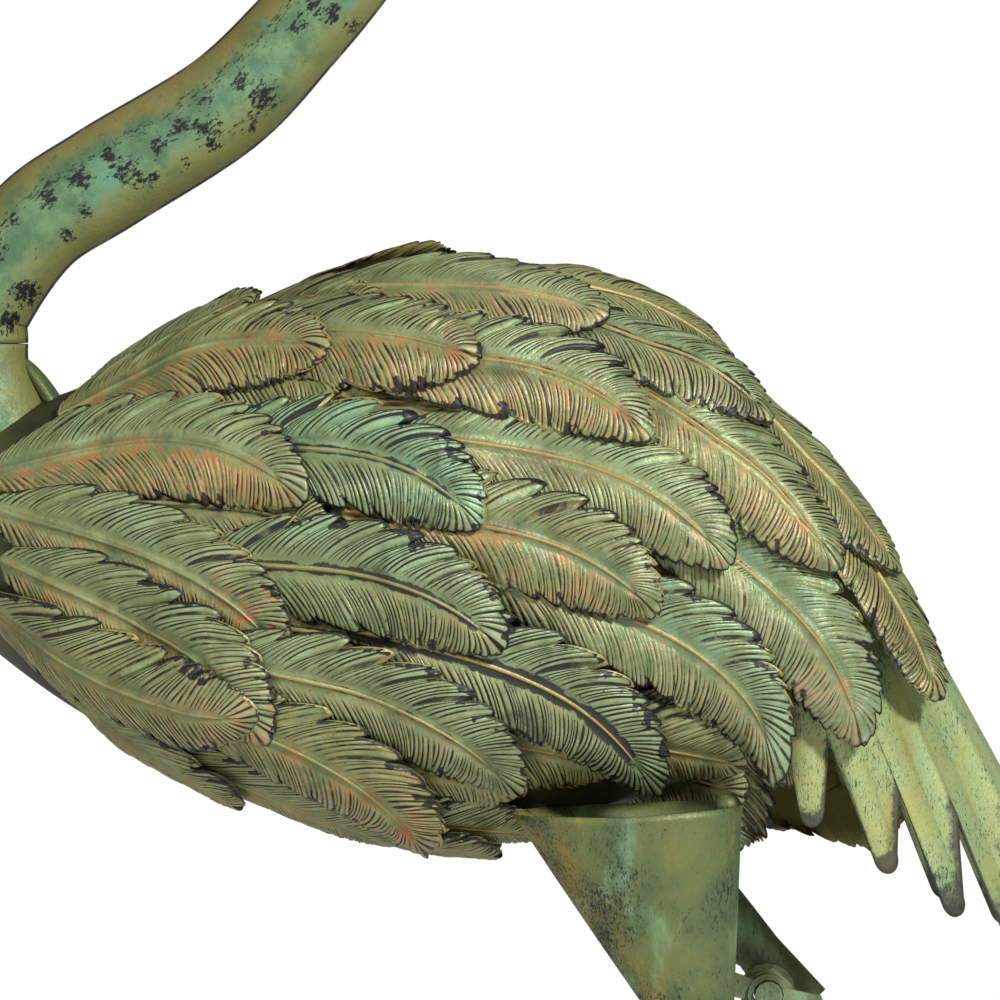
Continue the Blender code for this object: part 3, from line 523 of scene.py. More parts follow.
def add_mesh(name, points, faces, finish, replaced=(), tags=None):
    """Make a piece of the statue from points in millimetres and place it on the body."""
    mesh = bpy.data.meshes.new(name)
    mesh.from_pydata((np.array(points) * MM).tolist(), [], faces)
    mesh.materials.append(finish)
    mesh.polygons.foreach_set("use_smooth", [True] * len(mesh.polygons))
    for tag, values in (tags or {}).items():
        layer = mesh.attributes.new(tag, "FLOAT", "POINT")
        layer.data.foreach_set("value", np.asarray(values, dtype=np.float32))
    mesh.update()
    piece = bpy.data.objects.new(name, mesh)
    bpy.context.scene.collection.objects.link(piece)
    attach(piece, BODY)
    if replaced:
        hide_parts(*replaced)


def soft_step(value, low, high):
    """Smooth step from 0 at low to 1 at high."""
    part = np.clip((value - low) / (high - low), 0.0, 1.0)
    return part * part * (3.0 - 2.0 * part)


def drape_on_curve(drape, share, side):
    """The drape's heights, read along smooth curves through its knots."""
    place = np.clip(share, 0.0, 1.0) * (DRAPE_ROWS - 1)
    row = np.minimum(place.astype(int), DRAPE_ROWS - 2)
    part = place - row
    reach = np.minimum(np.abs(side), 1.0)
    outer = np.where(side < 0.0, 0, 2)
    result = 0.0
    for column, weight in ((np.ones_like(outer), 1.0 - reach), (outer, reach)):
        before = drape[np.maximum(row - 1, 0), column]
        start = drape[row, column]
        end = drape[row + 1, column]
        after = drape[np.minimum(row + 2, DRAPE_ROWS - 1), column]
        bend = 2.0 * before - 5.0 * start + 4.0 * end - after
        twist = 3.0 * (start - end) + after - before
        height = start + 0.5 * part * (end - before + part * (bend + part * twist))
        result = result + weight * height
    return result


def lobes(u, starts, depth, draw):
    """How far each row reaches towards the outline, and its place within its lobe."""
    starts = list(starts)
    jitter = draw.uniform(-LOBE_SHIFT, LOBE_SHIFT, len(starts))
    starts = [start + shift if start > 0.0 else start for start, shift in zip(starts, jitter)]
    depths = list(depth * draw.uniform(*LOBE_SPREAD, len(starts)))
    while starts[-1] < 1.0 - SCALLOP:
        starts.append(starts[-1] + SCALLOP * draw.uniform(*SCALLOP_SPREAD))
        depths.append(SCALLOP_DEPTH * draw.uniform(*SCALLOP_DEPTH_SPREAD))
    depths[-1] = 0.5 * SCALLOP_DEPTH
    starts.append(1.0)
    index = np.clip(np.searchsorted(starts, u, side="right") - 1, 0, len(depths) - 1)
    first = np.array(starts)[index]
    after = np.array(starts)[index + 1]
    phase = np.clip((u - first) / (after - first), 0.0, 1.0)
    rounding = LOBE_ROUNDING * np.maximum(0.0, (phase - 0.8) / 0.2) ** 2
    reach = 1.0 - np.array(depths)[index] * (1.0 - phase) ** 1.8 - rounding
    return reach, phase


def vane_rows(u, upper, length, draw):
    """Half width, lobe phase, forward sweep and hook of the barbs on one side of a feather."""
    rake = (UPPER_RAKE if upper else LOWER_RAKE) / length
    sweep = rake * soft_step(u, -0.06, 0.14) * (1.0 - soft_step(u, 0.45, 1.05))
    starts, depth = (UPPER_LOBES, UPPER_LOBE_DEPTH) if upper else (LOWER_LOBES, LOWER_LOBE_DEPTH)
    reach, phase = lobes(u, starts, depth, draw)
    outline = np.maximum(vane_half_width(np.minimum(u + sweep, 1.0), SEEN_OUTLINE) * reach, NARROWEST)
    hook = LOBE_HOOK / length * phase ** 1.5 * (1.0 - soft_step(u, 0.6, 0.95))
    hook = hook - TIP_NOTCH / length * (1.0 - reach) * soft_step(u, 0.6, 0.85)
    return outline, phase, sweep, hook


def edge_distance(along, across):
    """Distance in millimetres from each point of a vane to its outer edge."""
    gaps = np.hypot(along[..., None] - along[:, -1], across[..., None] - across[:, -1])
    return gaps.min(-1)


def vane_relief(rows, upper, length, draw):
    """One vane as a grid: where its points are, and what the finish reads of them."""
    u, root_share, rib, rib_fades, strength, valley = rows
    outline, phase, sweep, hook = vane_rows(u, upper, length, draw)
    sign = 1.0 if upper else -1.0
    t = np.linspace(0.0, 1.0, VANE_COLUMNS + 1)[1:] ** 0.9
    across = rib + np.maximum(outline - rib, LEAST_VANE) * t
    forward = t ** UPPER_BARB_BEND if upper else 1.0 - (1.0 - t) ** LOWER_BARB_BEND
    reach_out = (u + sweep - root_share) * forward + hook * t ** 3
    share = np.minimum(root_share + reach_out, 1.0)
    depth = soft_step(t, 0.02, 0.42) * (1.0 - 0.25 * soft_step(t, 0.8, 1.0)) * strength
    rise = UPPER_BARB_RISE if upper else LOWER_BARB_RISE
    height = rise * depth * (1.0 - 2.0 * valley)
    height = height + VANE_DOME * np.sin(pi * t ** 0.8) * soft_step(u, 0.0, 0.2)
    height = height + LOBE_STEP * (phase - 0.5) * t ** 2
    wave = draw.uniform(0.0, 2.0 * pi)
    height = height + WAVE_HEIGHT * np.sin(WAVE_TURNS * u + wave) * t ** 2
    height = height - EDGE_CURL * t ** 8
    line = rib_fades * (1.0 - soft_step(np.abs(across - rib), 0.0, LINE_WIDTH))
    part = {"share": share, "across": sign * across, "height": height, "groove": depth, "rib": 0.0,
            "edge": edge_distance(share * length, across), "reach": sign * t, "line": line}
    order = 1 if upper else -1
    return {key: np.broadcast_to(value, share.shape)[:, ::order] for key, value in part.items()}


def rib_relief(rows):
    """The midrib as a grid like those of the vanes beside it."""
    u, root_share, rib, rib_fades, _, _ = rows
    crest = np.cos(RIB_STEPS * pi / 2.0) ** 0.8
    height = RIB_RISE * (1.0 - 0.5 * u) * rib_fades * crest - 0.25 * np.abs(RIB_STEPS) ** 6
    part = {"share": root_share, "across": rib * RIB_STEPS, "height": height, "groove": 0.0,
            "rib": rib_fades * crest, "edge": FAR_FROM_EDGE, "reach": 0.0,
            "line": rib_fades * np.abs(RIB_STEPS) ** 6}
    return {key: np.broadcast_to(value, height.shape) for key, value in part.items()}


def sheet_faces(rows, wide, narrow):
    """Faces of a closed sheet: a fine grid above, a coarser one below and the rims between them."""
    start = rows * wide
    row = np.arange(rows - 1)
    a = (row[:, None] * wide + np.arange(wide - 1)).ravel()
    b = (start + row[:, None] * narrow + np.arange(narrow - 1)).ravel()
    upper = row * wide
    lower = start + row * narrow
    end = upper + wide - 1
    low_end = lower + narrow - 1
    quads = ((a, a + wide, a + wide + 1, a + 1), (b, b + 1, b + narrow + 1, b + narrow),
             (upper, lower, lower + narrow, upper + wide), (end + wide, low_end + narrow, low_end, end))
    faces = np.concatenate([np.stack(quad, -1) for quad in quads]).tolist()
    faces.append(list(range(wide)) + [start + index for index in reversed(range(narrow))])
    last = [(rows - 1) * wide + index for index in reversed(range(wide))]
    faces.append(last + [start + (rows - 1) * narrow + index for index in range(narrow)])
    return faces


def feather_tags(grid, barb, tints, tip_x):
    """What the finish reads at each point of a feather's upper face."""
    upper_ochre, lower_ochre, orange, tip_orange, teal, wear = tints
    lower_side = soft_step(-grid["reach"], -0.15, 0.2)
    near_tip = soft_step(grid["share"], 0.55, 1.0)
    gilt = min(max((tip_x - GILT_FROM) / GILT_OVER, LEAST_GILT), 1.0)
    tags = {key: grid[key] for key in ("edge", "groove", "line", "reach")}
    tags["rib"] = grid["rib"] * gilt
    tags["barb"] = barb
    tags["ochre"] = upper_ochre + (lower_ochre - upper_ochre) * lower_side
    tags["orange"] = np.clip(orange * lower_side * (1.0 - 0.4 * near_tip) + tip_orange * near_tip, 0.0, 1.0)
    tags["teal"] = teal * (0.55 + 0.45 * near_tip)
    tags["wear"] = wear
    tags["inner"] = 0.0
    return {key: np.broadcast_to(value, grid["edge"].shape).ravel() for key, value in tags.items()}


def make_feather(name, feather, laid, mirrored, finish, replaced, fineness, tints, hang=None):
    """A stamped feather: lobed vanes with curved barbs, a raised midrib and a turned-down edge."""
    draw = np.random.default_rng(sum(ord(letter) for letter in name))
    length = hypot(feather[3] - feather[1], feather[4] - feather[2])
    pitch, rows_to_a_barb = fineness
    barbs = round(length / pitch)
    barb = np.linspace(0.0, barbs, barbs * rows_to_a_barb + 1)[:, None]
    ends = np.cumsum(np.concatenate([[0.0], draw.uniform(*BARB_SPACING, barbs)]))
    u = np.interp(barb, np.arange(barbs + 1), ends / ends[-1])
    root_share = u - FAN_SHARE * np.maximum(u - FAN_FROM, 0.0)
    rib_fades = 1.0 - soft_step(root_share, *RIB_FADE)
    rib = RIB_HALF_WIDTH * (1.15 - 0.65 * u) * (0.08 + 0.92 * rib_fades)
    rib = np.minimum(rib, 0.45 * np.maximum(vane_half_width(u, SEEN_OUTLINE), NARROWEST))
    strength = draw.uniform(*BARB_STRENGTH, barbs + 1)[np.round(barb).astype(int)]
    valley = np.abs(np.cos(pi * barb)) ** BARB_SHARPNESS
    rows = (u, root_share, rib, rib_fades, strength, valley)
    lower_vane = vane_relief(rows, False, length, draw)
    parts = (lower_vane, rib_relief(rows), vane_relief(rows, True, length, draw))
    grid = {key: np.concatenate([part[key] for part in parts], axis=1) for key in lower_vane}

    lifts, drape = laid
    shares = np.linspace(0.0, 1.0, FRAME_SAMPLES)
    if hang:
        frames = [hanging_frame(feather, share, *hang) for share in shares]
    else:
        frames = [feather_frame(feather, share, lifts) for share in shares]
    here, up, out = (
        np.stack([np.interp(grid["share"], shares, [frame[part][axis] for frame in frames])
                  for axis in range(3)], -1) for part in range(3))
    side = grid["across"] / FEATHER_HALF_WIDTH
    rise = drape_on_curve(drape, grid["share"], side) + feather[6] * FEATHER_ROLL * side
    rise = rise - grid["across"] ** 2 / (2.0 * VANE_RADIUS)
    top = here + up * grid["across"][..., None] + out * (rise + grid["height"])[..., None]
    wide = top.shape[1]
    kept = sorted({0, VANE_COLUMNS // 2, VANE_COLUMNS + 3, wide - 1 - VANE_COLUMNS // 2, wide - 1})
    below = (here + up * grid["across"][..., None] + out * (rise - FEATHER_SHEET)[..., None])[:, kept]
    for sheet in (top, below):
        sheet[..., 1] = np.minimum(sheet[..., 1], -RIDGE_GAP)
        if mirrored:
            sheet[..., 1] *= -1.0

    points = np.concatenate([top.reshape(-1, 3), below.reshape(-1, 3)])
    faces = sheet_faces(len(u), wide, len(kept))
    if not mirrored:
        faces = [face[::-1] for face in faces]
    tags = {key: np.concatenate([value, np.full(len(u) * len(kept), UNDERSIDE.get(key, 0.0))])
            for key, value in feather_tags(grid, barb, tints, feather[3]).items()}
    add_mesh(name, points, faces, finish, replaced, tags)


def make_feathers(finish):
    """All the feathers: the CAD ones and their mirror images, those between them, the hanging ones."""
    for feather, laid in zip(FEATHERS, lay_feathers(FEATHERS)):
        short = feather[0]
        tints = feather[8]
        make_feather("near_" + short + "_stamping", feather, laid, False, finish,
                     ("near_" + short,), NEAR_GRID, tints)
        replaced = ("far_" + short,) if feather[7] else ()
        make_feather("far_" + short + "_stamping", feather, laid, True, finish,
                     replaced, FAR_GRID, tints)
    for extra in EXTRA_FEATHERS:
        lifts = np.linspace(EXTRA_ROOT_LIFT, extra[6], DRAPE_ROWS)
        laid = (lifts, np.stack([lifts] * 3, -1))
        feather = extra[:6] + (EXTRA_ROLL,)
        if extra[7]:
            make_feather("near_" + extra[0], feather, laid, False, finish, (), BETWEEN_GRID, EXTRA_TINTS)
        make_feather("far_" + extra[0], feather, laid, True, finish, (), FAR_GRID, EXTRA_TINTS)
    flat = (None, np.zeros((DRAPE_ROWS, 3)))
    for hanging in HANGING_FEATHERS:
        feather = hanging[:6] + (0.0,)
        make_feather(hanging[0], feather, flat, not hanging[8], finish, (), BETWEEN_GRID, EXTRA_TINTS,
                     hanging[6:8])


def curve_through(rows, steps):
    """Rows read along a smooth curve, steps to each pair of rows."""
    numbered = [(float(index), *row) for index, row in enumerate(rows)]
    result = []
    for index in range((len(rows) - 1) * steps + 1):
        at = index / steps
        result.append(tuple(smooth_value(at, numbered, column) for column in range(1, len(rows[0]) + 1)))
    return result


def round_angles(sides):
    """Even angles all the way round."""
    return [2.0 * pi * side / sides for side in range(sides)]


def path_rings(rows, depth_share, sides, y):
    """Oval rings square to a side-view path of (x, z, half width)."""
    rings = []
    last = len(rows) - 1
    for index, (x, z, half) in enumerate(rows):
        before = rows[max(index - 1, 0)]
        after = rows[min(index + 1, last)]
        along = Vector((after[0] - before[0], 0.0, after[1] - before[1])).normalized()
        across = Vector((-along.z, 0.0, along.x))
        ring = []
        for angle in round_angles(sides):
            out = across * (half * cos(angle))
            out.y = half * depth_share * sin(angle)
            ring.append(Vector((x, y, z)) + out)
        rings.append(ring)
    return rings


def skin_of_rings(rings, caps=True):
    """Points and faces of a closed solid through rings of equal length."""
    sides = len(rings[0])
    points = [tuple(point) for ring in rings for point in ring]
    faces = []
    last = len(rings) - 1
    for ring in range(last):
        for side in range(sides):
            after = (side + 1) % sides
            a = ring * sides
            b = a + sides
            faces.append((a + side, b + side, b + after, a + after))
    if caps:
        faces.append(tuple(range(sides)))
        faces.append(tuple(last * sides + side for side in reversed(range(sides))))
    return points, faces


# Thighs, collar and base
# side, rim x and z, rim's half width, x and z where the funnel ends, x and z of the tab's end
THIGHS = [
    ("near", 23.5, 433.0, 40.0, 52.0, 346.0, 55.0, 321.0),
    ("far", 6.0, 431.0, 28.0, 72.0, 377.0, 88.5, 357.0),
]
RIM_Y = 47.0
THIGH_END_Y = 42.0
RIM_HALF_DEPTH = 21.0
THIGH_NARROW_HALF = 8.5
THIGH_END_HALF = 10.0
THIGH_TAB_DEPTH = 5.0
RIM_RISE_INSIDE = 2.0
THIGH_RINGS = 30
THIGH_TAB_RINGS = 6
THIGH_SIDES = 72
THIGH_ROLL = 0.5
ROLL_RINGS = 2.0
TILT_RINGS = 6.0
RIM_TILT = 3.0
WELD_PLACE = (-5.0, 2.4)
WELD_RADIUS = 4.8
WELD_RINGS = 13
WELD_SIDES = 24
WELD_SUNK = 4.0
SOIL_DOWN = 110.0
SOIL_ACROSS = 60.0
COLLAR_PATH = [
    (-189.6, 590.5, 1.4),
    (-186.6, 586.5, 2.5),
    (-182.4, 580.5, 3.2),
    (-178.2, 573.5, 3.4),
    (-176.2, 568, 2.6),
]
COLLAR_SPREAD = 2.6
COLLAR_STEPS = 5
COLLAR_SIDES = 32
BASE_LENGTH = 330.0
BASE_WIDTH = 200.0
BASE_THICKNESS = 10.0
BASE_EDGE = 2.5
BASE_EDGE_STEPS = 12
BASE_SIDES = 128

# Neck refinement: paint dabs as side-view x, z and radius, and the welded seam
NECK_STEPS = 9
NECK_SIDES = 72
SEAM_BEAD = {0: 0.55, 1: 0.15}
DABS = [
    (-169, 655, 7.5),
    (-180, 648, 6),
    (-159, 663, 5.5),
    (-153.5, 658.5, 8.5),
    (-149, 654, 6),
    (-141, 666.5, 5.5),
    (-134.5, 673, 7),
    (-124, 673, 8.5),
    (-122, 668, 5.5),
    (-124, 683, 4.5),
    (-112.5, 688.5, 6.5),
    (-104.5, 684, 9.5),
    (-110, 674, 5.5),
    (-130, 661, 4.5),
    (-141, 656, 4.5),
    (-92.5, 708.5, 5.5),
    (-87, 716, 6),
    (-80, 713, 6.5),
    (-73, 708.5, 5),
    (-173.5, 635, 5),
    (-167, 643, 5),
    (-188, 615, 9),
    (-194.5, 605, 8),
    (-184, 609, 5),
    (-197, 630, 5.5),
    (-192, 641, 4.5),
    (-122.5, 887.5, 3.2),
]


def path_lengths(rows):
    """Length along a path at each of its rows."""
    lengths = [0.0]
    for before, after in zip(rows, rows[1:]):
        lengths.append(lengths[-1] + hypot(after[0] - before[0], after[1] - before[1]))
    return lengths


def neck_tags(rings, rows):
    """Where the neck's seam runs, how near a paint dab is, and the way along and round it."""
    sides = len(rings[0])
    around = np.tile(np.cos(round_angles(sides)), len(rings))
    points = np.array([tuple(point) for ring in rings for point in ring])
    dab = np.zeros(len(points))
    for x, z, radius in DABS:
        distance = np.hypot(points[:, 0] - x, points[:, 2] - z)
        dab = np.maximum(dab, 1.0 - distance / radius)
    sideways = soft_step(np.abs(points[:, 1]), 1.0, 6.0)
    return {
        "seam": soft_step(np.abs(around), 0.955, 0.998),
        "edge_side": around,
        "dab": np.clip(dab, 0.0, 1.0) * sideways,
        "along": np.repeat(path_lengths(rows), sides),
    }


def make_neck(finish):
    """The pressed S-curve with its welded seams, and the flared sleeve below it."""
    rows = curve_through(NECK_PATH, NECK_STEPS)
    rings = path_rings(rows, NECK_SQUASH, NECK_SIDES, 0.0)
    for ring, (x, z, _) in zip(rings, rows):
        centre = Vector((x, 0.0, z))
        for side, point in enumerate(ring):
            off = min(side, NECK_SIDES - side, abs(side - NECK_SIDES // 2))
            bead = SEAM_BEAD.get(off, 0.0)
            ring[side] = point + (point - centre).normalized() * bead
    lower_seam = LOWER_SEAM_ROW * NECK_STEPS
    head_seam = HEAD_SEAM_ROW * NECK_STEPS
    spans = (("lower_neck", 0, lower_seam), ("neck", lower_seam, head_seam),
             ("head", head_seam, len(rings) - 1))
    for name, first, last in spans:
        part_rings = rings[first:last + 1]
        part_rows = rows[first:last + 1]
        if name != "lower_neck":
            (x, z, _), (next_x, next_z, _) = part_rows[:2]
            lift = Vector((next_x - x, 0.0, next_z - z)).normalized() * FIT_GAP
            part_rings = [[point + lift for point in part_rings[0]]] + part_rings[1:]
        points, faces = skin_of_rings(part_rings)
        add_mesh(name + "_pressing", points, faces, finish, (name,),
                 neck_tags(part_rings, part_rows))


def srgb(red, green, blue):
    """Linear colour from the 0 to 255 values a person reads off a screen."""
    values = []
    for level in (red, green, blue):
        share = level / 255.0
        values.append(share / 12.92 if share <= 0.04045 else ((share + 0.055) / 1.055) ** 2.4)
    return (*values, 1.0)


SAGE = srgb(112, 134, 90)
MINT = srgb(142, 186, 142)
# Pale mint for the painted highlights on the barb ridges
RIDGE_HIGHLIGHT_MINT = srgb(166, 200, 150)
TEAL = srgb(104, 178, 154)
OCHRE = srgb(164, 136, 64)
GOLD = srgb(186, 150, 82)
ORANGE = srgb(206, 108, 66)
BLACK = srgb(22, 23, 26)
SHADE = srgb(58, 60, 36)
INSIDE = srgb(158, 146, 86)


class Value:
    """What a material node gives; a sum written with it adds the nodes for that sum."""

    def __init__(self, look, socket):
        self.look = look
        self.socket = socket

    def __add__(self, other):
        return self.look.math("ADD", self, other)

    def __sub__(self, other):
        return self.look.math("SUBTRACT", self, other)

    def __rsub__(self, other):
        return self.look.math("SUBTRACT", other, self)

    def __mul__(self, other):
        return self.look.math("MULTIPLY", self, other)

    def __pow__(self, power):
        return self.look.math("POWER", self, power)

    def __abs__(self):
        return self.look.math("ABSOLUTE", self)


class Finish:
    """A Principled material painted coat over coat with procedural nodes."""

    def __init__(self, name, roughness, metallic, colour=None):
        self.material = bpy.data.materials.new(name)
        self.material.use_nodes = True
        self.tree = self.material.node_tree
        self.shader = self.tree.nodes["Principled BSDF"]
        self.shader.inputs["Roughness"].default_value = roughness
        self.shader.inputs["Metallic"].default_value = metallic
        self.place = self.wire(self.tree.nodes.new("ShaderNodeTexCoord"), {}, "Object")
        self.colour = colour

    def feed(self, socket, value):
        """Give a socket a number, a colour or another node's value."""
        if isinstance(value, Value):
            self.tree.links.new(value.socket, socket)
        else:
            socket.default_value = value

    def wire(self, node, inputs, output):
        """Feed a node's inputs and give back one of its outputs."""
        for name, value in inputs.items():
            self.feed(node.inputs[name], value)
        return Value(self, node.outputs[output])

    def tag(self, name):
        """A number that the mesh carries at its points."""
        node = self.tree.nodes.new("ShaderNodeAttribute")
        node.attribute_name = name
        return self.wire(node, {}, "Fac")

    def noise(self, size_mm, detail=3.0, roughness=0.55, place=None, shift=0.0):
        """Fractal noise with features of about this size."""
        node = self.tree.nodes.new("ShaderNodeTexNoise")
        node.noise_dimensions = "4D"
        inputs = {"W": shift, "Scale": 1.0 / (size_mm * MM), "Detail": detail, "Roughness": roughness}
        return self.wire(node, {**inputs, "Vector": place or self.place}, "Fac")

    def step(self, value, low, high, to_low=0.0, to_high=1.0):
        """Smooth step of a value between two levels."""
        node = self.tree.nodes.new("ShaderNodeMapRange")
        node.interpolation_type = "SMOOTHSTEP"
        inputs = {"From Min": low, "From Max": high, "To Min": to_low, "To Max": to_high}
        return self.wire(node, {**inputs, "Value": value}, "Result")

    def math(self, kind, first, second=0.0):
        """A sum of one or two values."""
        node = self.tree.nodes.new("ShaderNodeMath")
        node.operation = kind
        return self.wire(node, {0: first, 1: second}, 0)

    def stretched(self, scale):
        """The place of a point, scaled along each axis."""
        node = self.tree.nodes.new("ShaderNodeVectorMath")
        node.operation = "MULTIPLY"
        return self.wire(node, {0: self.place, 1: scale}, 0)

    def place_of(self, x, y, z):
        """A place made of three values."""
        return self.wire(self.tree.nodes.new("ShaderNodeCombineXYZ"), {0: x, 1: y, 2: z}, 0)

    def mix(self, first, second, share):
        """Two colours, with this share of the second."""
        node = self.tree.nodes.new("ShaderNodeMix")
        node.data_type = "RGBA"
        return self.wire(node, {"Factor": share, "A": first, "B": second}, "Result")

    def paint(self, colour, share):
        """One more coat, over this share of what is painted so far."""
        self.colour = self.mix(self.colour, colour, share)

    def done(self, height, depth_mm, roughness=None):
        """The finished material, with its fine bumps."""
        self.feed(self.shader.inputs["Base Color"], self.colour)
        if roughness:
            self.feed(self.shader.inputs["Roughness"], roughness)
        bump = self.tree.nodes.new("ShaderNodeBump")
        normal = self.wire(bump, {"Distance": depth_mm * MM, "Height": height}, "Normal")
        self.feed(self.shader.inputs["Normal"], normal)
        return self.material


def feather_finish():
    """Sage and mint paint with ochre and orange clouds, gold midribs, black in the grooves and along the
    edges, painted highlights on the barb ridges and painted shade in the gaps below the feather edges.
    """
    look = Finish("feather_patina", 0.4, 0.25, SAGE)
    cloud = look.noise(22.0, 5.0, 0.62)
    patch = look.noise(8.0, 5.0, 0.62, shift=3.0)
    fleck = look.noise(1.1, 3.0, 0.65, shift=7.0)
    barb = look.tag("barb")
    wear = look.tag("wear")
    groove = look.tag("groove")
    along_barbs = look.place_of(barb * 0.001, look.tag("reach") * 0.0035, cloud * 0.004)
    streak = look.noise(0.9, 3.0, 0.6, along_barbs, 11.0)
    valley = abs(look.math("COSINE", barb * pi))
    grooves = valley ** 5.0 * groove
    painted_ridge_highlight = (1.0 - valley) ** 0.8 * groove

    look.paint(MINT, look.step(cloud, 0.44, 0.68))
    look.paint(TEAL, look.tag("teal") * look.step(patch, 0.42, 0.62))
    ochre = look.tag("ochre")
    look.paint(OCHRE, ochre * look.step(cloud + patch * 0.8, 0.66, 1.0))
    look.paint(ORANGE, look.tag("orange") * look.step(patch + streak * 0.5, 0.7, 0.88) * 0.85)
    look.paint(SHADE, look.step(look.noise(15.0, 4.0, 0.6, shift=31.0), 0.48, 0.7, 0.0, 0.75) * wear)
    # Painted highlight: pale mint glints on the barb ridges
    look.paint(RIDGE_HIGHLIGHT_MINT, painted_ridge_highlight * look.step(patch, 0.4, 0.66, 0.1, 0.7))
    look.paint(GOLD, look.step(look.tag("rib"), 0.3, 0.9) * 0.75)
    look.paint(INSIDE, look.tag("inner") * 0.85)

    look.paint(OCHRE, valley ** 1.6 * groove * ochre * 0.9)
    look.paint(SHADE, look.step(grooves, 0.1, 0.8) * (wear * 0.4 + 0.08))
    dirt = look.step(streak + wear * 0.22 + cloud * 0.9, 0.92, 1.14)
    deep = grooves + grooves * (wear * 0.6)
    look.paint(BLACK, look.step(deep, 0.2, 0.7) * dirt * 0.92)
    line = look.tag("line")
    beside_rib = look.step(line * 0.55 + patch * wear * 1.15, 0.9, 1.02) * look.step(line, 0.05, 0.3)
    look.paint(BLACK, beside_rib * 0.9)
    # Black edges: worn black paint along the outline, widened with wear as painted shade for the dark gaps
    # below the feather edges
    bare = look.step(patch, 0.5, 0.66) * (wear * 2.5)
    black_edge_and_gap_shade = look.tag("edge") - fleck * 0.9 - bare
    look.paint(BLACK, look.step(black_edge_and_gap_shade, -0.15, 0.35, 0.95, 0.0))
    look.paint(BLACK, look.step(look.noise(1.5, 3.0, 0.6, shift=19.0), 0.62, 0.7) * wear * 0.75)
    return look.done(fleck + streak * 0.6 - grooves * 1.2, 0.24, look.step(fleck, 0.3, 0.7, 0.34, 0.52))


def neck_finish():
    """Teal-green down the middle, ochre along both edges, black dabs, dashes and a black seam."""
    look = Finish("neck_patina", 0.5, 0.2)
    cloud = look.noise(28.0, 5.0, 0.62)
    patch = look.noise(9.0, 5.0, 0.65, shift=5.0)
    fleck = look.noise(1.3, 3.0, 0.65, shift=7.0)
    side = look.tag("edge_side")
    along = look.tag("along")
    mottle = (patch - 0.5) * 1.1
    drift = (cloud - 0.5) * 1.3 + mottle
    look.colour = look.mix(srgb(82, 116, 82), srgb(112, 146, 102), look.step(patch, 0.38, 0.64))
    look.paint(srgb(92, 150, 128), look.step(look.noise(17.0, 4.0, 0.6, shift=17.0), 0.54, 0.7, 0.0, 0.65))
    look.paint(srgb(140, 124, 62), look.step(side + drift, 0.2, 0.85, 0.0, 0.85))
    look.paint(srgb(136, 132, 70), look.step(drift - side, 0.1, 0.9, 0.0, 0.85))

    lengthwise = look.place_of(along * 0.0005, side * 0.018, cloud * 0.01)
    dab = look.tag("dab")
    blot = dab + (look.noise(1.5, 6.0, 0.75, lengthwise, 9.0) - 0.5) * 3.4
    look.paint(BLACK, look.step(blot, 0.5, 0.64) * look.step(dab, 0.02, 0.2))
    specks = look.noise(0.8, 5.0, 0.7, lengthwise, 29.0) + mottle * 0.12
    look.paint(BLACK, look.step(specks, 0.66, 0.72, 0.0, 0.75))
    dashes = look.place_of(along * 0.0003, side * 0.018, patch * 0.003)
    crease = look.math("MAXIMUM", 1.0 - abs(side - 0.45) * 4.0)
    dash = look.noise(0.9, 4.0, 0.65, dashes, 13.0) + crease * 0.13
    look.paint(BLACK, look.step(dash, 0.63, 0.7, 0.0, 0.85))
    look.paint(BLACK, look.step(look.tag("seam"), 0.35, 0.9) * look.step(patch, 0.36, 0.5) * 0.9)
    return look.done(fleck + patch * 1.5, 0.25, look.step(fleck, 0.3, 0.7, 0.44, 0.62))


def sheet_finish(name, light, dark, flecks, rust=0.2, worn=False):
    """Brushed-on patina for the plain sheet parts, with upright black dashes and blotches."""
    look = Finish(name, 0.46, 0.25)
    cloud = look.noise(26.0, 5.0, 0.62)
    patch = look.noise(8.0, 5.0, 0.65, shift=5.0)
    fleck = look.noise(1.2, 3.0, 0.65, shift=7.0)
    upright = look.stretched((1.0, 1.0, 0.28))
    soil = look.tag("soil")
    drift = (cloud - 0.5) * 0.6 + soil * 0.15
    look.colour = look.mix(light, dark, look.step(cloud, 0.36, 0.62))
    ochre = look.noise(14.0, 5.0, 0.62, upright, 23.0) + soil * 0.3
    look.paint(OCHRE, look.step(ochre, 0.57, 0.8, 0.0, 0.65))
    look.paint(MINT, look.step(look.noise(14.0, 4.0, 0.6, upright, 15.0), 0.54, 0.7, 0.0, 0.5))
    look.paint(ORANGE, look.step(look.noise(9.0, 4.0, 0.6, shift=25.0), 0.6, 0.74, 0.0, rust))

    dash = look.noise(0.85, 5.0, 0.75, upright, 21.0) + drift
    look.paint(BLACK, look.step(dash, 0.7 - 0.08 * flecks, 0.79 - 0.08 * flecks, 0.0, 0.85))
    fine = look.noise(0.55, 3.0, 0.6, upright, 27.0) + drift * 0.5 + soil * 0.05
    look.paint(BLACK, look.step(fine, 0.6, 0.68, 0.0, 0.28 + 0.35 * flecks))
    if worn:
        bare = look.tag("worn") + (patch - 0.5) * 1.6
        look.paint(srgb(62, 60, 54), look.step(bare, 0.4, 0.75, 0.0, 0.9))
    return look.done(fleck + patch * 1.2, 0.22, look.step(fleck, 0.3, 0.7, 0.4, 0.6))


def shell_finish_with_painted_shade():
    """Painted shade: dark olive where the shell lies under the feathers; the breast's own paint where it is
    bare.
    """
    look = Finish("shell_patina_and_painted_shade", 0.55, 0.2)
    patch = look.noise(10.0, 5.0, 0.62, shift=5.0)
    breast = look.mix(srgb(104, 116, 68), srgb(128, 118, 58), look.step(patch, 0.42, 0.62))
    # Painted shade: the shell's dark olive stands in for the shade that falls under the feathers
    look.colour = look.mix(srgb(56, 58, 34), srgb(44, 46, 28), look.step(patch, 0.4, 0.6))
    look.paint(breast, look.tag("front"))
    return look.done(patch, 0.3)


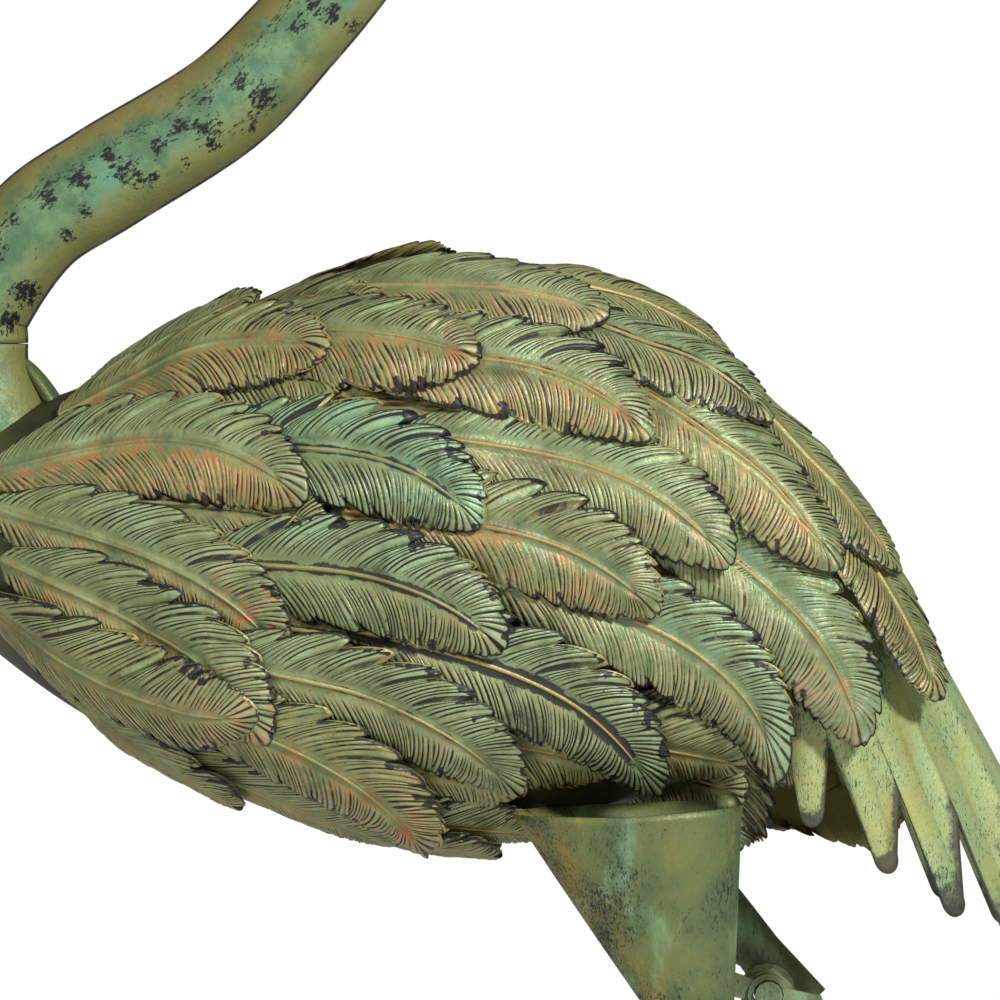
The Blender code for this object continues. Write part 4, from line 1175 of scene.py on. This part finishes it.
def make_shell(finish):
    """The plain sheet shell under the feathers, open at its lower rear."""
    front = BODY_SECTIONS[0][0]
    angles = [angle - pi / 2.0 for angle in round_angles(SHELL_SIDES)]
    sheets = []
    for inset in (0.0, SHELL_SHEET):
        rings = []
        for ring in range(SHELL_RINGS + 1):
            share = (ring / SHELL_RINGS) ** SHELL_RING_SPACING
            places = [(front + (shell_end(angle) - front) * share, angle) for angle in angles]
            rings.append([on_body(x, angle) - body_normal(x, angle) * inset for x, angle in places])
        sheets.append(rings)
    points, faces = sheet_of_rings(*sheets, closed_front=True)
    add_mesh("shell_pressing", points, faces, finish, ("body_shell",),
             {"front": [soft_step(-point[0], *BARE_BREAST) for point in points]})


def rounded_outline(steps):
    """The fan's lower outline with round finger tips, and each point's running number."""
    result = []
    before = Vector(TAIL_LOWER_CORNER)
    for finger, (tip, slot) in enumerate(TAIL_FINGERS):
        tip = Vector(tip)
        slot = Vector(slot)
        back = (before.lerp(slot, 0.5) - tip).normalized()
        across = slot - before
        across = (across - back * across.dot(back)).normalized()
        middle = tip + back * ROUND_TIP_LENGTH
        first = middle - across * ROUND_TIP_HALF
        third = middle + across * ROUND_TIP_HALF
        for step in range(steps):
            result.append((4.0 * finger + step / steps, before.lerp(first, step / steps)))
        for step in range(2 * steps):
            turn = pi * (step / (2.0 * steps) - 0.5)
            point = middle + across * (ROUND_TIP_HALF * sin(turn))
            point -= back * (ROUND_TIP_LENGTH * cos(turn))
            result.append((4.0 * finger + 1.0 + step / steps, point))
        for step in range(steps):
            result.append((4.0 * finger + 3.0 + step / steps, third.lerp(slot, step / steps)))
        before = slot
    outline = tail_outline()
    last = len(outline) - 1
    for index in (last - 2, last - 1):
        for step in range(steps):
            result.append((index + step / steps, outline[index].lerp(outline[index + 1], step / steps)))
    result.append((float(last), outline[last]))
    return result


def make_tail(finish):
    """The fan's sheet with rounded fingers, a flute down each finger and worn tips."""
    last = len(tail_outline()) - 1
    half = rounded_outline(OUTLINE_STEPS)
    top = []
    below = []
    worn = []
    for number, end in half:
        rim, normal, outer = tail_ruling(number, end, last)
        finger = abs(number % 4.0 - 2.0) / 2.0
        for row in range(TAIL_ROWS + 1):
            share = row / TAIL_ROWS
            swell = sin(pi * min(share * FLUTE_GROWS, 1.0) / 2.0)
            flute = TAIL_FLUTE * (0.5 + 0.5 * cos(pi * finger)) * swell
            point = rim.lerp(outer, share) + normal * flute
            top.append(point)
            below.append(point - normal * TAIL_SHEET)
            worn.append(max(0.0, 1.0 - (1.0 - share) * WORN_TIP))
    points = []
    for sheet in (top, below):
        points += [tuple(point) for point in sheet]
        points += [(point.x, -point.y, point.z) for point in sheet]

    wide = TAIL_ROWS + 1
    count = 2 * len(top)
    faces = []
    for start, turned in ((0, False), (len(top), True)):
        side = []
        for column in range(len(half) - 1):
            a = start + column * wide
            b = a + wide
            for row in range(TAIL_ROWS):
                face = (a + row, a + row + 1, b + row + 1, b + row)
                side += [face, tuple(count + index for index in reversed(face))]
            side.append((a, b, count + b, count + a))
            side.append((count + a + TAIL_ROWS, count + b + TAIL_ROWS, b + TAIL_ROWS, a + TAIL_ROWS))
        for a in range(start, start + TAIL_ROWS):
            side.append((count + a, count + a + 1, a + 1, a))
        faces += [face[::-1] for face in side] if turned else side
    soil = [0.45 - 0.005 * (point[0] - 80.0) for point in points]
    add_mesh("tail_pressing", points, faces, finish, ("tail_fan",),
             {"worn": worn * 4, "soil": soil})


def sheet_of_rings(rings, inset_rings, closed_front=False):
    """Points and faces of a tube of sheet: outer rings, inner rings and the rims between them."""
    sides = len(rings[0])
    outer, faces = skin_of_rings(rings, False)
    inner, inside = skin_of_rings(inset_rings, False)
    count = len(outer)
    faces += [tuple(count + index for index in reversed(face)) for face in inside]
    ends = ((0, True), (count - sides, False))
    if closed_front:
        ends = ends[1:]
        faces.append(tuple(range(sides)))
        faces.append(tuple(count + side for side in reversed(range(sides))))
    for start, turned in ends:
        for side in range(sides):
            after = (side + 1) % sides
            rim = (start + side, count + start + side, count + start + after, start + after)
            faces.append(rim[::-1] if turned else rim)
    return outer + inner, faces


def make_thigh(thigh, finish):
    """The sheet funnel with a rolled rim, a flat tab below it and a drop of weld on the rim."""
    name, rim_x, rim_z, rim_half, narrow_x, narrow_z, end_x, end_z = thigh
    flip = -1.0 if name == "near" else 1.0
    rim = Vector((rim_x, RIM_Y, rim_z))
    narrow = Vector((narrow_x, THIGH_END_Y, narrow_z))
    end = Vector((end_x, THIGH_END_Y, end_z))
    axis = end - narrow
    square = Vector((-axis.z, 0.0, axis.x)).normalized()
    outer = []
    inner = []
    for station in range(THIGH_RINGS + THIGH_TAB_RINGS + 1):
        part = min(station / THIGH_RINGS, 1.0)
        past = max(station - THIGH_RINGS, 0) / THIGH_TAB_RINGS
        centre = rim.lerp(narrow, part) + axis * past
        across = Vector((1.0, 0.0, 0.0)).lerp(square, part).normalized()
        half = rim_half + (THIGH_NARROW_HALF - rim_half) * part
        half += (THIGH_END_HALF - THIGH_NARROW_HALF) * past
        depth = RIM_HALF_DEPTH + (THIGH_TAB_DEPTH - RIM_HALF_DEPTH) * part
        roll = THIGH_ROLL * max(0.0, 1.0 - station / ROLL_RINGS)
        for sheet, less in ((outer, -roll), (inner, THIGH_SHEET - roll)):
            ring = []
            for angle in round_angles(THIGH_SIDES):
                point = centre + across * ((half - less) * cos(angle))
                point.y += (depth - less) * sin(angle)
                rising = max(0.0, 1.0 - station / TILT_RINGS) * max(0.0, cos(angle))
                point.z += RIM_TILT * rising
                if station == 0:
                    point.z += RIM_RISE_INSIDE * max(0.0, -sin(angle))
                point.y *= flip
                ring.append(point)
            sheet.append(ring if flip > 0.0 else ring[:1] + ring[:0:-1])
    points, faces = sheet_of_rings(outer, inner)
    drop_x = rim.x + rim_half + WELD_PLACE[0]
    drop = []
    for z in np.linspace(-WELD_RADIUS, WELD_RADIUS, WELD_RINGS):
        half = max(sqrt(max(WELD_RADIUS ** 2 - z * z, 0.0)), 0.1)
        drop.append((drop_x, rim.z + WELD_PLACE[1] + z, half))
    drop_points, drop_faces = skin_of_rings(path_rings(drop, 1.0, WELD_SIDES, flip * (RIM_Y - WELD_SUNK)))
    faces += [tuple(len(points) + index for index in face) for face in drop_faces]
    points += drop_points
    soil = [soft_step((rim.z - point[2]) / SOIL_DOWN - (point[0] - rim.x) / SOIL_ACROSS, -0.1, 1.1)
            for point in points]
    add_mesh(name + "_thigh_sheet", points, faces, finish, (name + "_thigh",), {"soil": soil})


def make_collar(finish):
    """The small rolled piece behind the lower neck."""
    rows = curve_through(COLLAR_PATH, COLLAR_STEPS)
    (top_x, top_z, _), (low_x, low_z, _) = rows[0], rows[-1]
    rows = [(top_x - 0.4, top_z + 1.2, 0.4)] + rows + [(low_x + 0.4, low_z - 1.2, 0.4)]
    points, faces = skin_of_rings(path_rings(rows, COLLAR_SPREAD, COLLAR_SIDES, 0.0))
    add_mesh("collar_roll", points, faces, finish, ("neck_collar",))


def oval(half_length, half_width, z, sides):
    """Points round a level oval."""
    return [(half_length * cos(angle), half_width * sin(angle), z) for angle in round_angles(sides)]


def make_base(finish):
    """The base plate, round-edged."""
    rings = []
    for step in range(BASE_EDGE_STEPS + 1):
        turn = pi * (step / BASE_EDGE_STEPS - 0.5)
        inset = BASE_EDGE * (1.0 - cos(turn))
        z = BASE_THICKNESS * (0.5 + 0.5 * sin(turn))
        rings.append(oval(BASE_LENGTH / 2.0 - inset, BASE_WIDTH / 2.0 - inset, z, BASE_SIDES)[::-1])
    points, faces = skin_of_rings(rings)
    add_mesh("base_casting", points, faces, finish, ("base_plate",))


def make_stage():
    """Pale floor, white surroundings, a key light from the camera's right and two softer ones."""
    floor_finish = Finish("floor", 0.9, 0.0)
    floor_finish.shader.inputs["Base Color"].default_value = FLOOR_GREY
    mesh = bpy.data.meshes.new("floor")
    mesh.from_pydata(oval(FLOOR_RADIUS, FLOOR_RADIUS, 0.0, FLOOR_SIDES), [], [tuple(range(FLOOR_SIDES))])
    mesh.materials.append(floor_finish.material)
    floor = bpy.data.objects.new("floor", mesh)
    bpy.context.scene.collection.objects.link(floor)

    world = bpy.data.worlds.new("studio")
    bpy.context.scene.world = world
    world.use_nodes = True
    tree = world.node_tree
    surround = tree.nodes["Background"]
    surround.inputs["Color"].default_value = (1.0, 1.0, 1.0, 1.0)
    surround.inputs["Strength"].default_value = SURROUND_STRENGTH
    backdrop = tree.nodes.new("ShaderNodeBackground")
    backdrop.inputs["Color"].default_value = (1.0, 1.0, 1.0, 1.0)
    backdrop.inputs["Strength"].default_value = BACKDROP_STRENGTH
    seen = tree.nodes.new("ShaderNodeLightPath")
    choice = tree.nodes.new("ShaderNodeMixShader")
    tree.links.new(seen.outputs["Is Camera Ray"], choice.inputs["Fac"])
    tree.links.new(surround.outputs[0], choice.inputs[1])
    tree.links.new(backdrop.outputs[0], choice.inputs[2])
    tree.links.new(choice.outputs[0], tree.nodes["World Output"].inputs["Surface"])
    bpy.context.scene.view_settings.view_transform = "Standard"

    for name, place, size, power in LIGHTS:
        light = bpy.data.lights.new(name, "AREA")
        light.shape = "DISK"
        light.size = size
        light.energy = power
        lamp = bpy.data.objects.new(name, light)
        lamp.location = place
        aim = Vector(LIGHT_AIM) - Vector(place)
        lamp.rotation_euler = aim.to_track_quat("-Z", "Y").to_euler()
        bpy.context.scene.collection.objects.link(lamp)


# Floor, lights (place, size, watts) and camera, in metres
FLOOR_RADIUS = 2.6
FLOOR_SIDES = 96
FLOOR_GREY = (0.8, 0.8, 0.8, 1.0)
SURROUND_STRENGTH = 0.17
BACKDROP_STRENGTH = 1.0
LIGHT_AIM = (-0.02, 0.0, 0.52)
LIGHTS = [
    ("key", (1.3, -2.0, 1.9), 0.4, 72.0),
    ("front", (-1.4, -2.2, 1.3), 0.8, 14.0),
    ("top", (-0.2, 0.5, 2.6), 0.8, 12.0),
]
CAMERA_AIM = (-0.021, -0.04, 0.5425)
CAMERA_DISTANCE = 3.0
CAMERA_ELEVATION = 2.0
CAMERA_LENS = 308.6


def make_camera():
    """The camera of the photograph: side on, a little above the bird's middle."""
    data = bpy.data.cameras.new("camera")
    data.lens = CAMERA_LENS
    data.sensor_width = 36.0
    camera = bpy.data.objects.new("camera", data)
    elevation = radians(CAMERA_ELEVATION)
    back = Vector((0.0, -cos(elevation), sin(elevation)))
    camera.location = Vector(CAMERA_AIM) + back * CAMERA_DISTANCE
    camera.rotation_euler = (-back).to_track_quat("-Z", "Y").to_euler()
    bpy.context.scene.collection.objects.link(camera)
    bpy.context.scene.camera = camera


def dress_nodes(sheet, base, metal):
    """Put the finishes on the solids that stay in view."""
    for name, node in frame["nodes"].items():
        if name == "base_plate":
            finish = base
        elif name.endswith(("_stud", "_hex_nut", "_wing_nut")):
            finish = metal
        else:
            finish = sheet
        for material_slot in node.material_slots:
            material_slot.material = finish


def main():
    """Make every finish, then every piece, then the stage."""
    feather = feather_finish()
    neck = neck_finish()
    tail = sheet_finish("sheet_patina", srgb(166, 170, 104), srgb(152, 176, 124), 1.3, 0.3, worn=True)
    shell = shell_finish_with_painted_shade()
    thigh = sheet_finish("thigh_patina", srgb(108, 118, 66), srgb(84, 102, 64), 1.3, 0.04)
    plain = sheet_finish("leg_patina", srgb(116, 134, 86), srgb(100, 120, 80), 0.6)
    base = sheet_finish("base_metal", srgb(74, 88, 58), srgb(60, 76, 52), 0.6)
    metal = sheet_finish("hardware", srgb(148, 160, 118), srgb(116, 126, 88), 0.8)
    dress_nodes(plain, base, metal)
    make_shell(shell)
    make_tail(tail)
    make_feathers(feather)
    make_neck(neck)
    make_collar(thigh)
    for side in THIGHS:
        make_thigh(side, thigh)
    make_base(base)
    make_stage()
    make_camera()


main()
